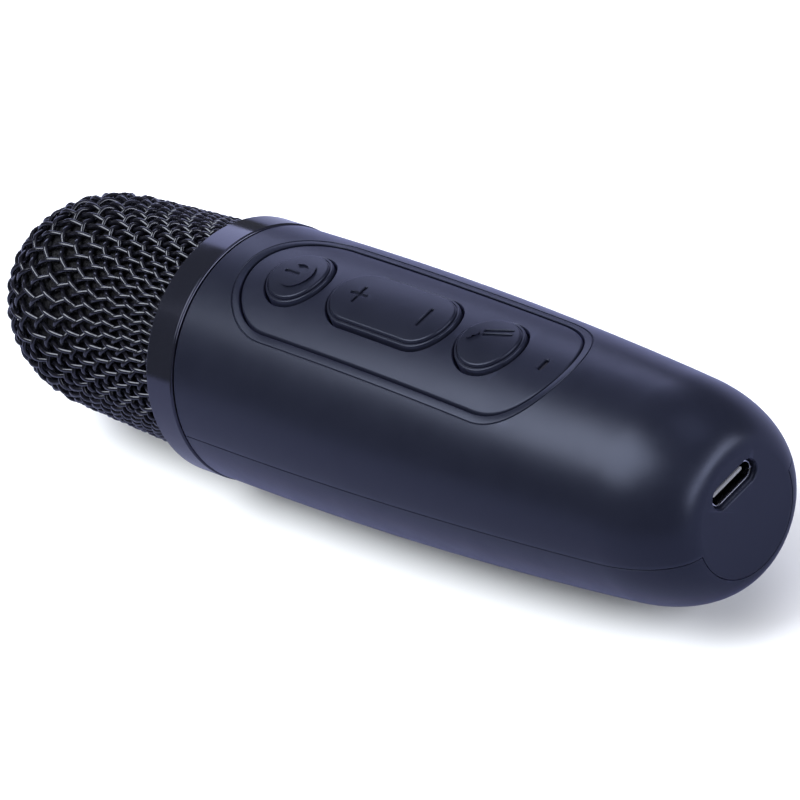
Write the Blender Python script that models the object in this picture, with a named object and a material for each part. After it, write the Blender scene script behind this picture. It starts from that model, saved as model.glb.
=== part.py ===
"""Cordless karaoke microphone, lying on its collar with the keys up.

The axis runs along X: grille tip at -X, flat end disc with the charging port at +X, keys facing +Z.
Shapes are drawn in millimetres in the axis frame, where x is the station along the axis counted from the
seam between collar and body (grille negative, tail positive) and y = z = 0 is the axis. add_object turns
them into metres and moves them so that the finished object stands centred over the origin.
"""

import math

import bmesh
import bpy
from mathutils import Matrix, Vector

MM = 0.001

# Body of revolution
BODY_LENGTH = 101.0
BODY_RADIUS = 20.6
TAPER_START = 10.0
TAPER_LENGTH = 74.0
TAPER_DROP = 3.25
SHOULDER_START = 87.0
END_DISC_RADIUS = 9.8
END_FLAT_RADIUS = 9.2
WALL = 2.4
END_WALL = 2.6
SEAM_GAP = 0.3
GAP = 0.3
SEGMENTS = 60
TAPER_PIECES = 5

# Collar and grille
COLLAR_RADIUS = 20.8
COLLAR_LENGTH = 6.4
COLLAR_CHAMFER = 0.5
GRILLE_LENGTH = 57.0
GRILLE_BASE_RADIUS = 19.1
GRILLE_SHOULDER_RADIUS = 18.0
DOME_LENGTH = 20.8
DOME_START = DOME_LENGTH - GRILLE_LENGTH
MESH_THICKNESS = 0.9
FOAM_THICKNESS = 2.6
COLLAR_OVERLAP = 0.9

# Neck that carries the grille and the capsule
NECK_RADIUS = 16.6
NECK_BORE_RADIUS = 13.8
NECK_FRONT = -8.0
NECK_REAR = 6.0
LIP_RADIUS = 17.0
LIP_LENGTH = 1.5
CAPSULE_RADIUS = 4.85
CAPSULE_LENGTH = 6.5
GROMMET_RADIUS = 6.2

# Control panel, seen from above; the half widths are measured flat, across Y
PANEL_FRONT = 6.7
PANEL_REAR = 72.05
PANEL_HALF_WIDTH = 10.25
BEVEL_WIDTH = 1.2
PANEL_TOP = -0.35
PANEL_BOTTOM = -1.2
RECESS_DEPTH = -1.5

# Keys
POWER_STATION = 16.5
ROCKER_STATION = 37.1
MODE_STATION = 57.4
KEY_RADIUS = 5.5
ROCKER_HALF_LENGTH = 12.3
ROCKER_HALF_WIDTH = 5.6
KEY_CLEARANCE = 0.4
KEY_STEP = 0.55
KEY_FLANGE_TOP = 0.1
KEY_TOP = 0.5
KEY_SKIRT_BOTTOM = -3.5
KEY_CATCH = 0.9
MARK_DEPTH = 0.3
MARK_WIDTH = 0.5
STANDBY_RADIUS = 2.45
STANDBY_OPENING = math.radians(55)
DOT_RADIUS = 0.35
TRUNNION_RADIUS = 1.0
TRUNNION_BORE = 1.08
TRUNNION_DEPTH = 5.0
TRUNNION_REACH = 8.4
EAR_INNER = 6.6
EAR_OUTER = 8.6
EAR_HALF_LENGTH = 2.4
HUB_HALF_LENGTH = 1.6
HUB_HALF_WIDTH = 5.0
STEM_RADIUS = 1.5
VOLUME_SWITCH_OFFSET = 8.0
LED_STATION = 68.1
LED_SLOT = (0.45, 1.15)
LED_GUIDE = (0.25, 0.95)

# Board, switches and port
BOARD_TOP = 8.55
BOARD_THICKNESS = 1.2
BOARD_FRONT = 7.0
BOARD_REAR = 82.0
BOARD_HALF_WIDTH = 12.0
BOARD_TAIL_REAR = 97.6
BOARD_TAIL_HALF_WIDTH = 5.0
SWITCH_SIZE = 6.0
SWITCH_HEIGHT = 3.5
PLUNGER_RADIUS = 1.6
PLUNGER_TOP = 13.6
PLUNGER_BOTTOM = 11.6
SCREW_STATIONS = (11.0, 78.0)
SCREW_OFFSET = 9.5
BOSS_RADIUS = 2.4
SCREW_SHANK_RADIUS = 0.8
SCREW_HEAD_RADIUS = 2.0
SCREW_HEAD_HEIGHT = 1.4
SCREW_TIP = 11.6
SNAP_TAB_STATIONS = (22.0, 68.0)
SNAP_TAB_HALF_LENGTH = 4.0
SNAP_TAB_HALF_HEIGHT = 3.0
SNAP_TAB_THICKNESS = 1.4
SNAP_TAB_BOTTOM = -7.5
PORT_HEIGHT = 5.5
PORT_SHELL = (8.94, 3.16)
PORT_SHELL_WALL = 0.3
PORT_DEPTH = 7.3
PORT_RECESS = 0.8
PORT_HOLE = (9.54, 3.76)
TONGUE_SIZE = (6.69, 0.7)

# Battery
CELL_RADIUS = 9.2
CELL_LENGTH = 65.2
CELL_FRONT = 12.0
CELL_AXIS = -4.5

FRAME_SHIFT = Vector(((GRILLE_LENGTH - BODY_LENGTH) / 2, 0.0, COLLAR_RADIUS))

MATERIALS = {
    "shell_plastic": ((0.020, 0.022, 0.034), 0.38, 0.0),
    "panel_plastic": ((0.024, 0.026, 0.040), 0.42, 0.0),
    "key_plastic": ((0.018, 0.019, 0.031), 0.40, 0.0),
    "gloss_ring": ((0.020, 0.021, 0.034), 0.12, 0.0),
    "grille_wire": ((0.015, 0.015, 0.018), 0.22, 1.0),
    "ring_metal": ((0.450, 0.450, 0.460), 0.35, 1.0),
    "foam": ((0.012, 0.012, 0.014), 0.95, 0.0),
    "frame_plastic": ((0.035, 0.035, 0.040), 0.50, 0.0),
    "soft_rubber": ((0.025, 0.025, 0.025), 0.80, 0.0),
    "capsule_can": ((0.700, 0.700, 0.710), 0.30, 1.0),
    "smoked_lens": ((0.030, 0.030, 0.040), 0.10, 0.0),
    "led_body": ((0.850, 0.850, 0.780), 0.30, 0.0),
    "board_laminate": ((0.020, 0.120, 0.050), 0.45, 0.0),
    "switch_plastic": ((0.050, 0.050, 0.055), 0.50, 0.0),
    "plunger_plastic": ((0.550, 0.540, 0.500), 0.50, 0.0),
    "shield_tin": ((0.620, 0.620, 0.600), 0.35, 1.0),
    "port_steel": ((0.720, 0.720, 0.730), 0.22, 1.0),
    "tongue_plastic": ((0.120, 0.120, 0.130), 0.50, 0.0),
    "cell_sleeve": ((0.080, 0.200, 0.450), 0.35, 0.0),
    "nickel": ((0.660, 0.630, 0.570), 0.30, 1.0),
    "screw_steel": ((0.550, 0.550, 0.560), 0.30, 1.0),
    "wire_red": ((0.500, 0.030, 0.030), 0.45, 0.0),
    "wire_black": ((0.020, 0.020, 0.020), 0.45, 0.0),
    "wire_white": ((0.700, 0.700, 0.680), 0.45, 0.0),
}


def clear_scene():
    for existing in list(bpy.data.objects):
        bpy.data.objects.remove(existing)


def material(slot):
    """The Principled material of that slot, made once."""
    found = bpy.data.materials.get(slot)
    if found:
        return found
    colour, roughness, metallic = MATERIALS[slot]
    made = bpy.data.materials.new(slot)
    made.use_nodes = True
    shader = made.node_tree.nodes["Principled BSDF"]
    shader.inputs["Base Color"].default_value = (*colour, 1.0)
    shader.inputs["Roughness"].default_value = roughness
    shader.inputs["Metallic"].default_value = metallic
    return made


def add_object(name, shape, slot=None, pivot=(0.0, 0.0, 0.0)):
    """An object from a closed shape in the axis frame, with its origin at pivot. Without a slot it is a cutter."""
    bmesh.ops.recalc_face_normals(shape, faces=shape.faces)
    bmesh.ops.translate(shape, verts=shape.verts, vec=-Vector(pivot))
    bmesh.ops.scale(shape, verts=shape.verts, vec=(MM, MM, MM))
    mesh = bpy.data.meshes.new(name)
    shape.to_mesh(mesh)
    shape.free()
    made = bpy.data.objects.new(name, mesh)
    made.location = (Vector(pivot) + FRAME_SHIFT) * MM
    bpy.context.scene.collection.objects.link(made)
    if slot:
        mesh.materials.append(material(slot))
        mesh.shade_smooth()
        mesh.set_sharp_from_angle(angle=math.radians(30))
    else:
        made.hide_render = True
        made.display_type = "WIRE"
    return made


def combine(target, other, operation):
    """Cuts other out of target (DIFFERENCE) or joins it on (UNION)."""
    step = target.modifiers.new(other.name, "BOOLEAN")
    step.operation = operation
    step.object = other
    step.solver = "EXACT"


def cut(target, name, shape):
    combine(target, add_object(name, shape), "DIFFERENCE")


def weld(target, name, shape):
    combine(target, add_object(name, shape), "UNION")


def gather(shapes):
    """One shape out of several that don't touch."""
    whole = bmesh.new()
    for shape in shapes:
        copy = bpy.data.meshes.new("copy")
        shape.to_mesh(copy)
        shape.free()
        whole.from_mesh(copy)
        bpy.data.meshes.remove(copy)
    return whole


def bridge(shape, ring, following):
    """Side faces between two rings of vertices; a ring of one vertex is a pole."""
    count = max(len(ring), len(following))
    for i in range(count):
        corners = [
            ring[i % len(ring)],
            ring[(i + 1) % len(ring)],
            following[(i + 1) % len(following)],
            following[i % len(following)],
        ]
        shape.faces.new(list(dict.fromkeys(corners)))


def revolve(profile, segments=SEGMENTS):
    """A solid of revolution about the X axis. A profile that starts and ends on the axis is closed by its poles,
    and any other profile is a closed loop."""
    shape = bmesh.new()
    rings = []
    for station, radius in profile:
        turns = segments if radius > 0 else 1
        ring = []
        for i in range(turns):
            angle = 2 * math.pi * (i + 0.5) / turns
            ring.append(shape.verts.new((station, -radius * math.sin(angle), radius * math.cos(angle))))
        rings.append(ring)
    for ring, following in zip(rings, rings[1:]):
        bridge(shape, ring, following)
    if profile[0][1] > 0:
        bridge(shape, rings[-1], rings[0])
    return shape


def block(low, high):
    """A box between two corners."""
    shape = bmesh.new()
    size = [b - a for a, b in zip(low, high)]
    centre = [(a + b) / 2 for a, b in zip(low, high)]
    bmesh.ops.create_cube(shape, size=1.0, matrix=Matrix.Translation(centre) @ Matrix.Diagonal((*size, 1.0)))
    return shape


def post(centre, radius, low, high, segments=24):
    """An upright cylinder at (x, y) between two heights."""
    middle = Matrix.Translation((centre[0], centre[1], (low + high) / 2))
    shape = bmesh.new()
    bmesh.ops.create_cone(
        shape, cap_ends=True, segments=segments, radius1=radius, radius2=radius, depth=high - low, matrix=middle
    )
    return shape


def turned_rod(profile, centre, segments=20):
    """A solid of revolution about an upright axis at (x, y), from (height, radius) points."""
    shape = revolve([(height, radius) for height, radius in profile], segments)
    turn = Matrix.Rotation(math.radians(-90), 4, "Y")
    bmesh.ops.transform(shape, verts=shape.verts, matrix=Matrix.Translation((*centre, 0.0)) @ turn)
    return shape


def crosswise_rod(station, height, radius, reach, segments=24):
    """A cylinder along Y, centred on the axis plane."""
    turn = Matrix.Rotation(math.radians(90), 4, "X")
    shape = bmesh.new()
    bmesh.ops.create_cone(
        shape,
        cap_ends=True,
        segments=segments,
        radius1=radius,
        radius2=radius,
        depth=2 * reach,
        matrix=Matrix.Translation((station, 0.0, height)) @ turn,
    )
    return shape


def stadium(centre, half_length, half_width, arc_steps=12, straight_steps=5):
    """Plan outline of a slot with round ends, as (x, y) points. Equal half sizes give a circle."""
    straight = half_length - half_width
    outline = []
    for side in (1, -1):
        for i in range(arc_steps):
            angle = side * math.pi / 2 * (1 - 2 * (i + 0.5) / arc_steps)
            x = straight + half_width * abs(math.cos(angle))
            y = half_width * math.sin(angle)
            outline.append((centre + side * x, y))
        if straight <= 0:
            continue
        for i in range(straight_steps + 1):
            x = straight * (1 - 2 * i / straight_steps)
            outline.append((centre + side * x, -side * half_width))
    return outline


def slot_prism(outline_yz, front, rear):
    """A prism along X from an outline in (y, z)."""
    shape = bmesh.new()
    rings = [[shape.verts.new((x, y, z)) for y, z in outline_yz] for x in (front, rear)]
    bridge(shape, *rings)
    shape.faces.new(rings[0])
    shape.faces.new(rings[1][::-1])
    return shape


def plan_prism(outline, low, high):
    """A prism along Z from a plan outline."""
    shape = bmesh.new()
    rings = [[shape.verts.new((x, y, z)) for x, y in outline] for z in (low, high)]
    bridge(shape, *rings)
    shape.faces.new(rings[0])
    shape.faces.new(rings[1][::-1])
    return shape


def wire(path, radius, sides=8):
    """A round wire along a smooth path through the given points, with flat ends."""
    samples = []
    points = [Vector(p) for p in path]
    padded = [2 * points[0] - points[1], *points, 2 * points[-1] - points[-2]]
    for before, a, b, after in zip(padded, padded[1:], padded[2:], padded[3:]):
        for i in range(4):
            t = i / 4
            samples.append(
                0.5
                * (
                    2 * a
                    + (b - before) * t
                    + (2 * before - 5 * a + 4 * b - after) * t**2
                    + (3 * a - before - 3 * b + after) * t**3
                )
            )
    samples.append(points[-1])
    shape = bmesh.new()
    rings = []
    side = Vector((0.0, 1.0, 0.0))
    for i, centre in enumerate(samples):
        along = (samples[min(i + 1, len(samples) - 1)] - samples[max(i - 1, 0)]).normalized()
        side = (side - along * side.dot(along)).normalized()
        up = along.cross(side)
        ring = []
        for k in range(sides):
            angle = 2 * math.pi * k / sides
            ring.append(shape.verts.new(centre + radius * (math.cos(angle) * side + math.sin(angle) * up)))
        rings.append(ring)
    for ring, following in zip(rings, rings[1:]):
        bridge(shape, ring, following)
    shape.faces.new(rings[0][::-1])
    shape.faces.new(rings[-1])
    return shape


def body_radius(station):
    """Outer radius of the body: straight, then tapering ever faster, then a round shoulder to the end disc."""
    taper = BODY_RADIUS - TAPER_DROP * (max(0.0, station - TAPER_START) / TAPER_LENGTH) ** 2
    if station <= SHOULDER_START:
        return taper
    last_taper = BODY_RADIUS - TAPER_DROP * ((BODY_LENGTH - TAPER_START) / TAPER_LENGTH) ** 2
    along = (station - SHOULDER_START) / (BODY_LENGTH - SHOULDER_START)
    return taper - (last_taper - END_FLAT_RADIUS) * (1 - math.sqrt(max(0.0, 1 - along**2)))


def grille_wall_radius(station):
    """Radius of the grille's slightly tapered wall, between the collar and the start of the dome."""
    along = (station - DOME_START) / (-COLLAR_LENGTH - DOME_START)
    return GRILLE_SHOULDER_RADIUS + (GRILLE_BASE_RADIUS - GRILLE_SHOULDER_RADIUS) * along


def skin_height(x, y, offset):
    """Height over the axis of the body's skin above (x, y), raised by an offset."""
    return math.sqrt((body_radius(x) + offset) ** 2 - y**2)


def skin_plate(centre, half_length, half_width, levels, pieces_across=4):
    """A plate that follows the body's skin. levels are (inset, offset) rings from its lower edge over its side to
    its upper edge; both faces are then filled by smaller rings down to a strip along the middle."""
    inner = [half_width * (1 - i / pieces_across) for i in range(1, pieces_across)] + [half_width * 0.04]
    rows = [(half_width - width, levels[0][1]) for width in reversed(inner) if width < half_width - levels[0][0]]
    rows += levels
    rows += [(half_width - width, levels[-1][1]) for width in inner if width < half_width - levels[-1][0]]
    shape = bmesh.new()
    rings = []
    for inset, offset in rows:
        outline = stadium(centre, half_length - inset, half_width - inset)
        rings.append([shape.verts.new((x, y, skin_height(x, y, offset))) for x, y in outline])
    for ring, following in zip(rings, rings[1:]):
        bridge(shape, ring, following)
    shape.faces.new(rings[0])
    shape.faces.new(rings[-1][::-1])
    bmesh.ops.triangulate(shape, faces=[face for face in shape.faces if len(face.verts) > 4])
    return shape


def body_wall():
    """The whole body as one hollow solid, before it is parted into the two shells."""
    shoulder_length = BODY_LENGTH - SHOULDER_START
    shoulder = [SHOULDER_START + shoulder_length * math.sin(math.radians(a)) for a in range(90, 0, -10)]
    piece = (SHOULDER_START - TAPER_START) / TAPER_PIECES
    straight = [SHOULDER_START - piece * i for i in range(TAPER_PIECES + 1)]
    profile = [(BODY_LENGTH, 0.0)]
    profile += [(s, body_radius(s)) for s in shoulder + straight]
    profile += [(GAP, BODY_RADIUS), (0.0, BODY_RADIUS - GAP), (0.0, LIP_RADIUS), (LIP_LENGTH, LIP_RADIUS)]
    profile += [(LIP_LENGTH, BODY_RADIUS - WALL)]
    profile += [(s, body_radius(s) - WALL) for s in straight[::-2]]
    profile += [(s, body_radius(s) - WALL) for s in (91.0, 94.5, 96.5)]
    inner_end = BODY_LENGTH - END_WALL
    profile += [(inner_end, body_radius(inner_end) - WALL - 1.0), (inner_end, 0.0)]
    return revolve(profile)


def end_disc(radius):
    """A plug over the flat end, thick enough to take in the end wall."""
    front = BODY_LENGTH - 11.0
    rear = BODY_LENGTH + 5.0
    return revolve([(front, 0.0), (front, radius), (rear, radius), (rear, 0.0)])


def panel_recess():
    """The bed of the control panel: a bevel from the skin inwards, then a straight side down to the floor."""
    centre = (PANEL_FRONT + PANEL_REAR) / 2
    half_length = (PANEL_REAR - PANEL_FRONT) / 2 + GAP + BEVEL_WIDTH
    half_width = PANEL_HALF_WIDTH + GAP + BEVEL_WIDTH
    levels = [(BEVEL_WIDTH, RECESS_DEPTH), (BEVEL_WIDTH, PANEL_TOP - 0.1), (0.0, 0.0), (-0.6, 1.5)]
    return skin_plate(centre, half_length, half_width, levels)


def key_holes(clearance):
    """The straight-sided holes of the three keys."""
    shapes = []
    for station, half_length, half_width in (
        (POWER_STATION, KEY_RADIUS, KEY_RADIUS),
        (ROCKER_STATION, ROCKER_HALF_LENGTH, ROCKER_HALF_WIDTH),
        (MODE_STATION, KEY_RADIUS, KEY_RADIUS),
    ):
        outline = stadium(station, half_length + clearance, half_width + clearance)
        shapes.append(plan_prism(outline, 10.0, 30.0))
    return shapes


def crosswise_slot(half_sizes, low, high):
    """A small upright prism with round ends, longer across the body than along it."""
    outline = stadium(0.0, half_sizes[1], half_sizes[0], arc_steps=6, straight_steps=1)
    return plan_prism([(LED_STATION - y, x) for x, y in outline], low, high)


def port_outline(width, height, steps=8):
    """Outline in (y, z) of a slot with round ends around the charging port's centre."""
    outline = stadium(0.0, width / 2, height / 2, arc_steps=steps, straight_steps=1)
    return [(x, PORT_HEIGHT + y) for x, y in outline]


def trunnion_height():
    return body_radius(ROCKER_STATION) - TRUNNION_DEPTH


def rocker_ears():
    """The two ears under the panel that hold the rocker's trunnions."""
    ears = []
    for side in (1, -1):
        inner, outer = sorted((side * EAR_INNER, side * EAR_OUTER))
        low = (ROCKER_STATION - EAR_HALF_LENGTH, inner, trunnion_height() - 2.2)
        ears.append(block(low, (ROCKER_STATION + EAR_HALF_LENGTH, outer, trunnion_height() + 3.0)))
    return ears


def screw_places():
    return [(station, side * SCREW_OFFSET) for station in SCREW_STATIONS for side in (1, -1)]


def front_shell():
    """Upper half of the body with the whole end disc, the panel's bed, key holes, bosses and the port's hole."""
    shell = add_object("front_shell", body_wall(), "shell_plastic")
    lower_half = add_object("front_parting", block((-5, -30, -30), (BODY_LENGTH + 5, 30, SEAM_GAP / 2)))
    cut(lower_half, "front_parting_disc", end_disc(END_DISC_RADIUS))
    combine(shell, lower_half, "DIFFERENCE")
    into_wall = GAP - WALL / 2
    bosses = [post(place, BOSS_RADIUS, BOARD_TOP + GAP, skin_height(*place, into_wall)) for place in screw_places()]
    weld(shell, "front_fittings", gather(bosses + rocker_ears()))
    cut(shell, "front_panel_bed", panel_recess())
    pilots = [post(place, SCREW_SHANK_RADIUS + GAP, 5.0, SCREW_TIP + GAP, 16) for place in screw_places()]
    slot = crosswise_slot(LED_SLOT, 10.0, 30.0)
    port = slot_prism(port_outline(*PORT_HOLE), BODY_LENGTH - 6, BODY_LENGTH + 5)
    bore = crosswise_rod(ROCKER_STATION, trunnion_height(), TRUNNION_BORE, TRUNNION_REACH + 0.5, 32)
    cut(shell, "front_holes", gather([*key_holes(KEY_CLEARANCE), slot, port, *pilots]))
    cut(shell, "front_trunnion_bore", bore)
    return shell


def back_shell():
    """Lower half of the body, notched for the end disc, with four snap tabs that reach up inside the front shell."""
    shell = add_object("back_shell", body_wall(), "shell_plastic")
    cut(shell, "back_parting", block((-5, -30, -SEAM_GAP / 2), (BODY_LENGTH + 5, 30, 30)))
    cut(shell, "back_parting_disc", end_disc(END_DISC_RADIUS + GAP))
    tabs = []
    for station in SNAP_TAB_STATIONS:
        front = station - SNAP_TAB_HALF_LENGTH
        rear = station + SNAP_TAB_HALF_LENGTH
        reach = math.sqrt((body_radius(rear) - WALL) ** 2 - SNAP_TAB_HALF_HEIGHT**2) - GAP
        for side in (1, -1):
            inner, outer = sorted((side * (reach - SNAP_TAB_THICKNESS), side * reach))
            tabs.append(block((front, inner, SNAP_TAB_BOTTOM), (rear, outer, SNAP_TAB_HALF_HEIGHT)))
    weld(shell, "back_tabs", gather(tabs))
    return shell


def control_panel():
    """Inlaid plate around the keys, following the body's skin."""
    centre = (PANEL_FRONT + PANEL_REAR) / 2
    half_length = (PANEL_REAR - PANEL_FRONT) / 2
    levels = [(0.0, PANEL_BOTTOM), (0.0, PANEL_TOP - 0.25), (0.25, PANEL_TOP)]
    plate = add_object("control_panel", skin_plate(centre, half_length, PANEL_HALF_WIDTH, levels), "panel_plastic")
    slot = crosswise_slot(LED_SLOT, 10.0, 30.0)
    cut(plate, "panel_holes", gather([*key_holes(KEY_CLEARANCE), slot]))
    return plate


def key_levels():
    """Rings of a key from its underside to its stepped top."""
    return [
        (0.0, KEY_SKIRT_BOTTOM),
        (0.0, KEY_FLANGE_TOP - 0.15),
        (0.15, KEY_FLANGE_TOP),
        (KEY_STEP, KEY_FLANGE_TOP),
        (KEY_STEP, KEY_TOP - 0.2),
        (KEY_STEP + 0.25, KEY_TOP),
    ]


def mark_bar(start, end, station):
    """A straight stroke engraved into a key top, between two plan points counted from the key's centre."""
    a = Vector((station + start[0], start[1], 0.0))
    b = Vector((station + end[0], end[1], 0.0))
    along = (b - a).normalized()
    side = Vector((-along.y, along.x, 0.0)) * MARK_WIDTH / 2
    outline = [a - side, b - side, b + side, a + side]
    depth = KEY_TOP - MARK_DEPTH
    low = min(skin_height(p.x, p.y, depth) for p in (a, b))
    return plan_prism([(p.x, p.y) for p in outline], low, low + 5.0)


def power_mark():
    """Open ring and bar of the usual standby sign, upright when the grille points up."""
    steps = 14
    inner = []
    outer = []
    for i in range(steps + 1):
        angle = math.pi + STANDBY_OPENING + 2 * (math.pi - STANDBY_OPENING) * i / steps
        for edge, distance in ((inner, STANDBY_RADIUS - MARK_WIDTH / 2), (outer, STANDBY_RADIUS + MARK_WIDTH / 2)):
            edge.append((POWER_STATION + distance * math.cos(angle), distance * math.sin(angle)))
    low = skin_height(POWER_STATION, STANDBY_RADIUS, KEY_TOP - MARK_DEPTH)
    ring = plan_prism(inner + outer[::-1], low, low + 5.0)
    return [ring, mark_bar((-2.7, 0.0), (0.35, 0.0), POWER_STATION)]


def mode_mark():
    """A small handheld-microphone sign, slanting across the key: two long strokes and three dots."""
    strokes = [mark_bar((-2.0, 1.35), (2.2, 3.35), MODE_STATION), mark_bar((-1.7, 0.6), (2.7, 2.4), MODE_STATION)]
    low = skin_height(MODE_STATION, 1.0, KEY_TOP - MARK_DEPTH)
    places = ((-2.8, 0.35), (-3.4, -0.5), (-3.7, 0.5))
    dots = [post((MODE_STATION + x, y), DOT_RADIUS, low, low + 5.0, 10) for x, y in places]
    return strokes + dots


def round_key(name, station, mark):
    """A push key: stepped cap, catch ring under the panel and a stem that ends over its switch."""
    cap = skin_plate(station, KEY_RADIUS, KEY_RADIUS, key_levels(), 3)
    key = add_object(name, cap, "key_plastic", (station, 0.0, body_radius(station)))
    catch = skin_plate(
        station,
        KEY_RADIUS + KEY_CATCH,
        KEY_RADIUS + KEY_CATCH,
        [(0.0, KEY_SKIRT_BOTTOM - 0.1), (0.0, -WALL - GAP)],
        3,
    )
    weld(key, name + "_catch", catch)
    weld(key, name + "_stem", post((station, 0.0), STEM_RADIUS, PLUNGER_TOP + GAP, body_radius(station) - 3.0))
    cut(key, name + "_mark", gather(mark))
    return key


def volume_rocker():
    """The long key: it tilts about two stub axles, and a post under each end stands over a switch."""
    station = ROCKER_STATION
    cap = skin_plate(station, ROCKER_HALF_LENGTH, ROCKER_HALF_WIDTH, key_levels(), 3)
    key = add_object("volume_rocker", cap, "key_plastic", (station, 0.0, trunnion_height()))
    hub = block(
        (station - HUB_HALF_LENGTH, -HUB_HALF_WIDTH, trunnion_height() - HUB_HALF_LENGTH),
        (station + HUB_HALF_LENGTH, HUB_HALF_WIDTH, body_radius(station) - 2.5),
    )
    posts = [
        post((station + side * VOLUME_SWITCH_OFFSET, 0.0), STEM_RADIUS, PLUNGER_TOP + GAP, body_radius(station) - 2.6)
        for side in (1, -1)
    ]
    weld(key, "rocker_hub", gather([hub, *posts]))
    weld(key, "rocker_trunnions", crosswise_rod(station, trunnion_height(), TRUNNION_RADIUS, TRUNNION_REACH, 32))
    up = station - VOLUME_SWITCH_OFFSET + 1.1
    down = station + VOLUME_SWITCH_OFFSET - 0.9
    cut(key, "rocker_minus", mark_bar((0.0, -1.9), (0.0, 1.9), down))
    cut(key, "rocker_plus_across", mark_bar((0.0, -1.7), (0.0, 1.7), up))
    cut(key, "rocker_plus_along", mark_bar((-1.7, 0.0), (1.7, 0.0), up))
    return key


def led():
    """Status lamp on the board and the smoked guide that brings its light to the panel."""
    top = skin_height(LED_STATION, 1.2, PANEL_TOP - 0.4)
    add_object("led_guide", crosswise_slot(LED_GUIDE, BOARD_TOP + 2.0, top), "smoked_lens")
    low = BOARD_TOP + GAP
    add_object("status_led", block((LED_STATION - 0.8, -1.2, low), (LED_STATION + 0.8, 1.2, low + 1.2)), "led_body")


def main_board():
    """Laminate board with a narrow tail for the port, and a hole for each screw."""
    outline = [
        (BOARD_FRONT, -BOARD_HALF_WIDTH + 1.0),
        (BOARD_FRONT + 1.0, -BOARD_HALF_WIDTH),
        (BOARD_REAR, -BOARD_HALF_WIDTH),
        (BOARD_REAR, -BOARD_TAIL_HALF_WIDTH),
        (BOARD_TAIL_REAR, -BOARD_TAIL_HALF_WIDTH),
        (BOARD_TAIL_REAR, BOARD_TAIL_HALF_WIDTH),
        (BOARD_REAR, BOARD_TAIL_HALF_WIDTH),
        (BOARD_REAR, BOARD_HALF_WIDTH),
        (BOARD_FRONT + 1.0, BOARD_HALF_WIDTH),
        (BOARD_FRONT, BOARD_HALF_WIDTH - 1.0),
    ]
    board = add_object("main_board", plan_prism(outline, BOARD_TOP - BOARD_THICKNESS, BOARD_TOP), "board_laminate")
    holes = [post(place, SCREW_SHANK_RADIUS + GAP, 5.0, 10.0, 16) for place in screw_places()]
    cut(board, "board_holes", gather(holes))


def push_switch(label, station):
    """A square push switch and the plunger that stands out of it."""
    low = BOARD_TOP + GAP
    half = SWITCH_SIZE / 2
    housing = block((station - half, -half, low), (station + half, half, low + SWITCH_HEIGHT))
    switch = add_object("switch_" + label, housing, "switch_plastic")
    cut(switch, "switch_bore_" + label, post((station, 0.0), PLUNGER_RADIUS + 0.2, PLUNGER_BOTTOM - 0.6, 20.0))
    plunger = [
        (PLUNGER_BOTTOM, 0.0),
        (PLUNGER_BOTTOM, PLUNGER_RADIUS),
        (PLUNGER_TOP - 0.3, PLUNGER_RADIUS),
        (PLUNGER_TOP, PLUNGER_RADIUS - 0.3),
        (PLUNGER_TOP, 0.0),
    ]
    shape = turned_rod(plunger, (station, 0.0))
    add_object("plunger_" + label, shape, "plunger_plastic", (station, 0.0, PLUNGER_TOP))


def screws():
    """Four cross-head screws that hold the board to the bosses, driven from below."""
    under_board = BOARD_TOP - BOARD_THICKNESS - GAP
    for number, place in enumerate(screw_places(), 1):
        profile = [
            (under_board - SCREW_HEAD_HEIGHT, 0.0),
            (under_board - SCREW_HEAD_HEIGHT, SCREW_HEAD_RADIUS - 0.4),
            (under_board - SCREW_HEAD_HEIGHT + 0.5, SCREW_HEAD_RADIUS),
            (under_board, SCREW_HEAD_RADIUS),
            (under_board, SCREW_SHANK_RADIUS),
            (SCREW_TIP - 0.8, SCREW_SHANK_RADIUS),
            (SCREW_TIP, 0.0),
        ]
        name = f"board_screw_{number}"
        screw = add_object(name, turned_rod(profile, place), "screw_steel")
        x, y = place
        low = under_board - SCREW_HEAD_HEIGHT - 1.0
        high = under_board - SCREW_HEAD_HEIGHT + 0.7
        cut(screw, name + "_slot_along", block((x - 1.1, y - 0.2, low), (x + 1.1, y + 0.2, high)))
        cut(screw, name + "_slot_across", block((x - 0.2, y - 1.1, low), (x + 0.2, y + 1.1, high)))


def charging_port():
    """Port shell, open towards the tail, and the contact tongue inside it."""
    width, height = PORT_SHELL
    rear = BODY_LENGTH - PORT_RECESS
    front = rear - PORT_DEPTH
    shell = add_object("usb_shell", slot_prism(port_outline(width, height), front, rear), "port_steel")
    inner_width = width - 2 * PORT_SHELL_WALL
    inner_height = height - 2 * PORT_SHELL_WALL
    cut(shell, "usb_shell_mouth", slot_prism(port_outline(inner_width, inner_height), front + 0.5, rear + 5))
    base_front = front + 0.5 + GAP
    base = slot_prism(port_outline(inner_width - 2 * GAP, inner_height - 2 * GAP), base_front, base_front + 1.0)
    tongue = add_object("usb_tongue", base, "tongue_plastic")
    half_width, half_height = (size / 2 for size in TONGUE_SIZE)
    blade = block(
        (base_front + 0.5, -half_width, PORT_HEIGHT - half_height),
        (rear - 0.7, half_width, PORT_HEIGHT + half_height),
    )
    weld(tongue, "usb_tongue_blade", blade)


def radio():
    """Shielded radio module on the board's tail and its wire antenna along the board's edge."""
    low = BOARD_TOP + GAP
    add_object("radio_module", block((84.0, -4.5, low), (95.0, 4.5, low + 1.8)), "shield_tin")
    path = [(82.5, -4.0, 9.5), (76.0, -5.2, 9.6), (64.0, -8.2, 9.6), (50.0, -8.6, 9.6)]
    add_object("antenna_wire", wire(path, 0.4), "wire_black")


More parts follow.
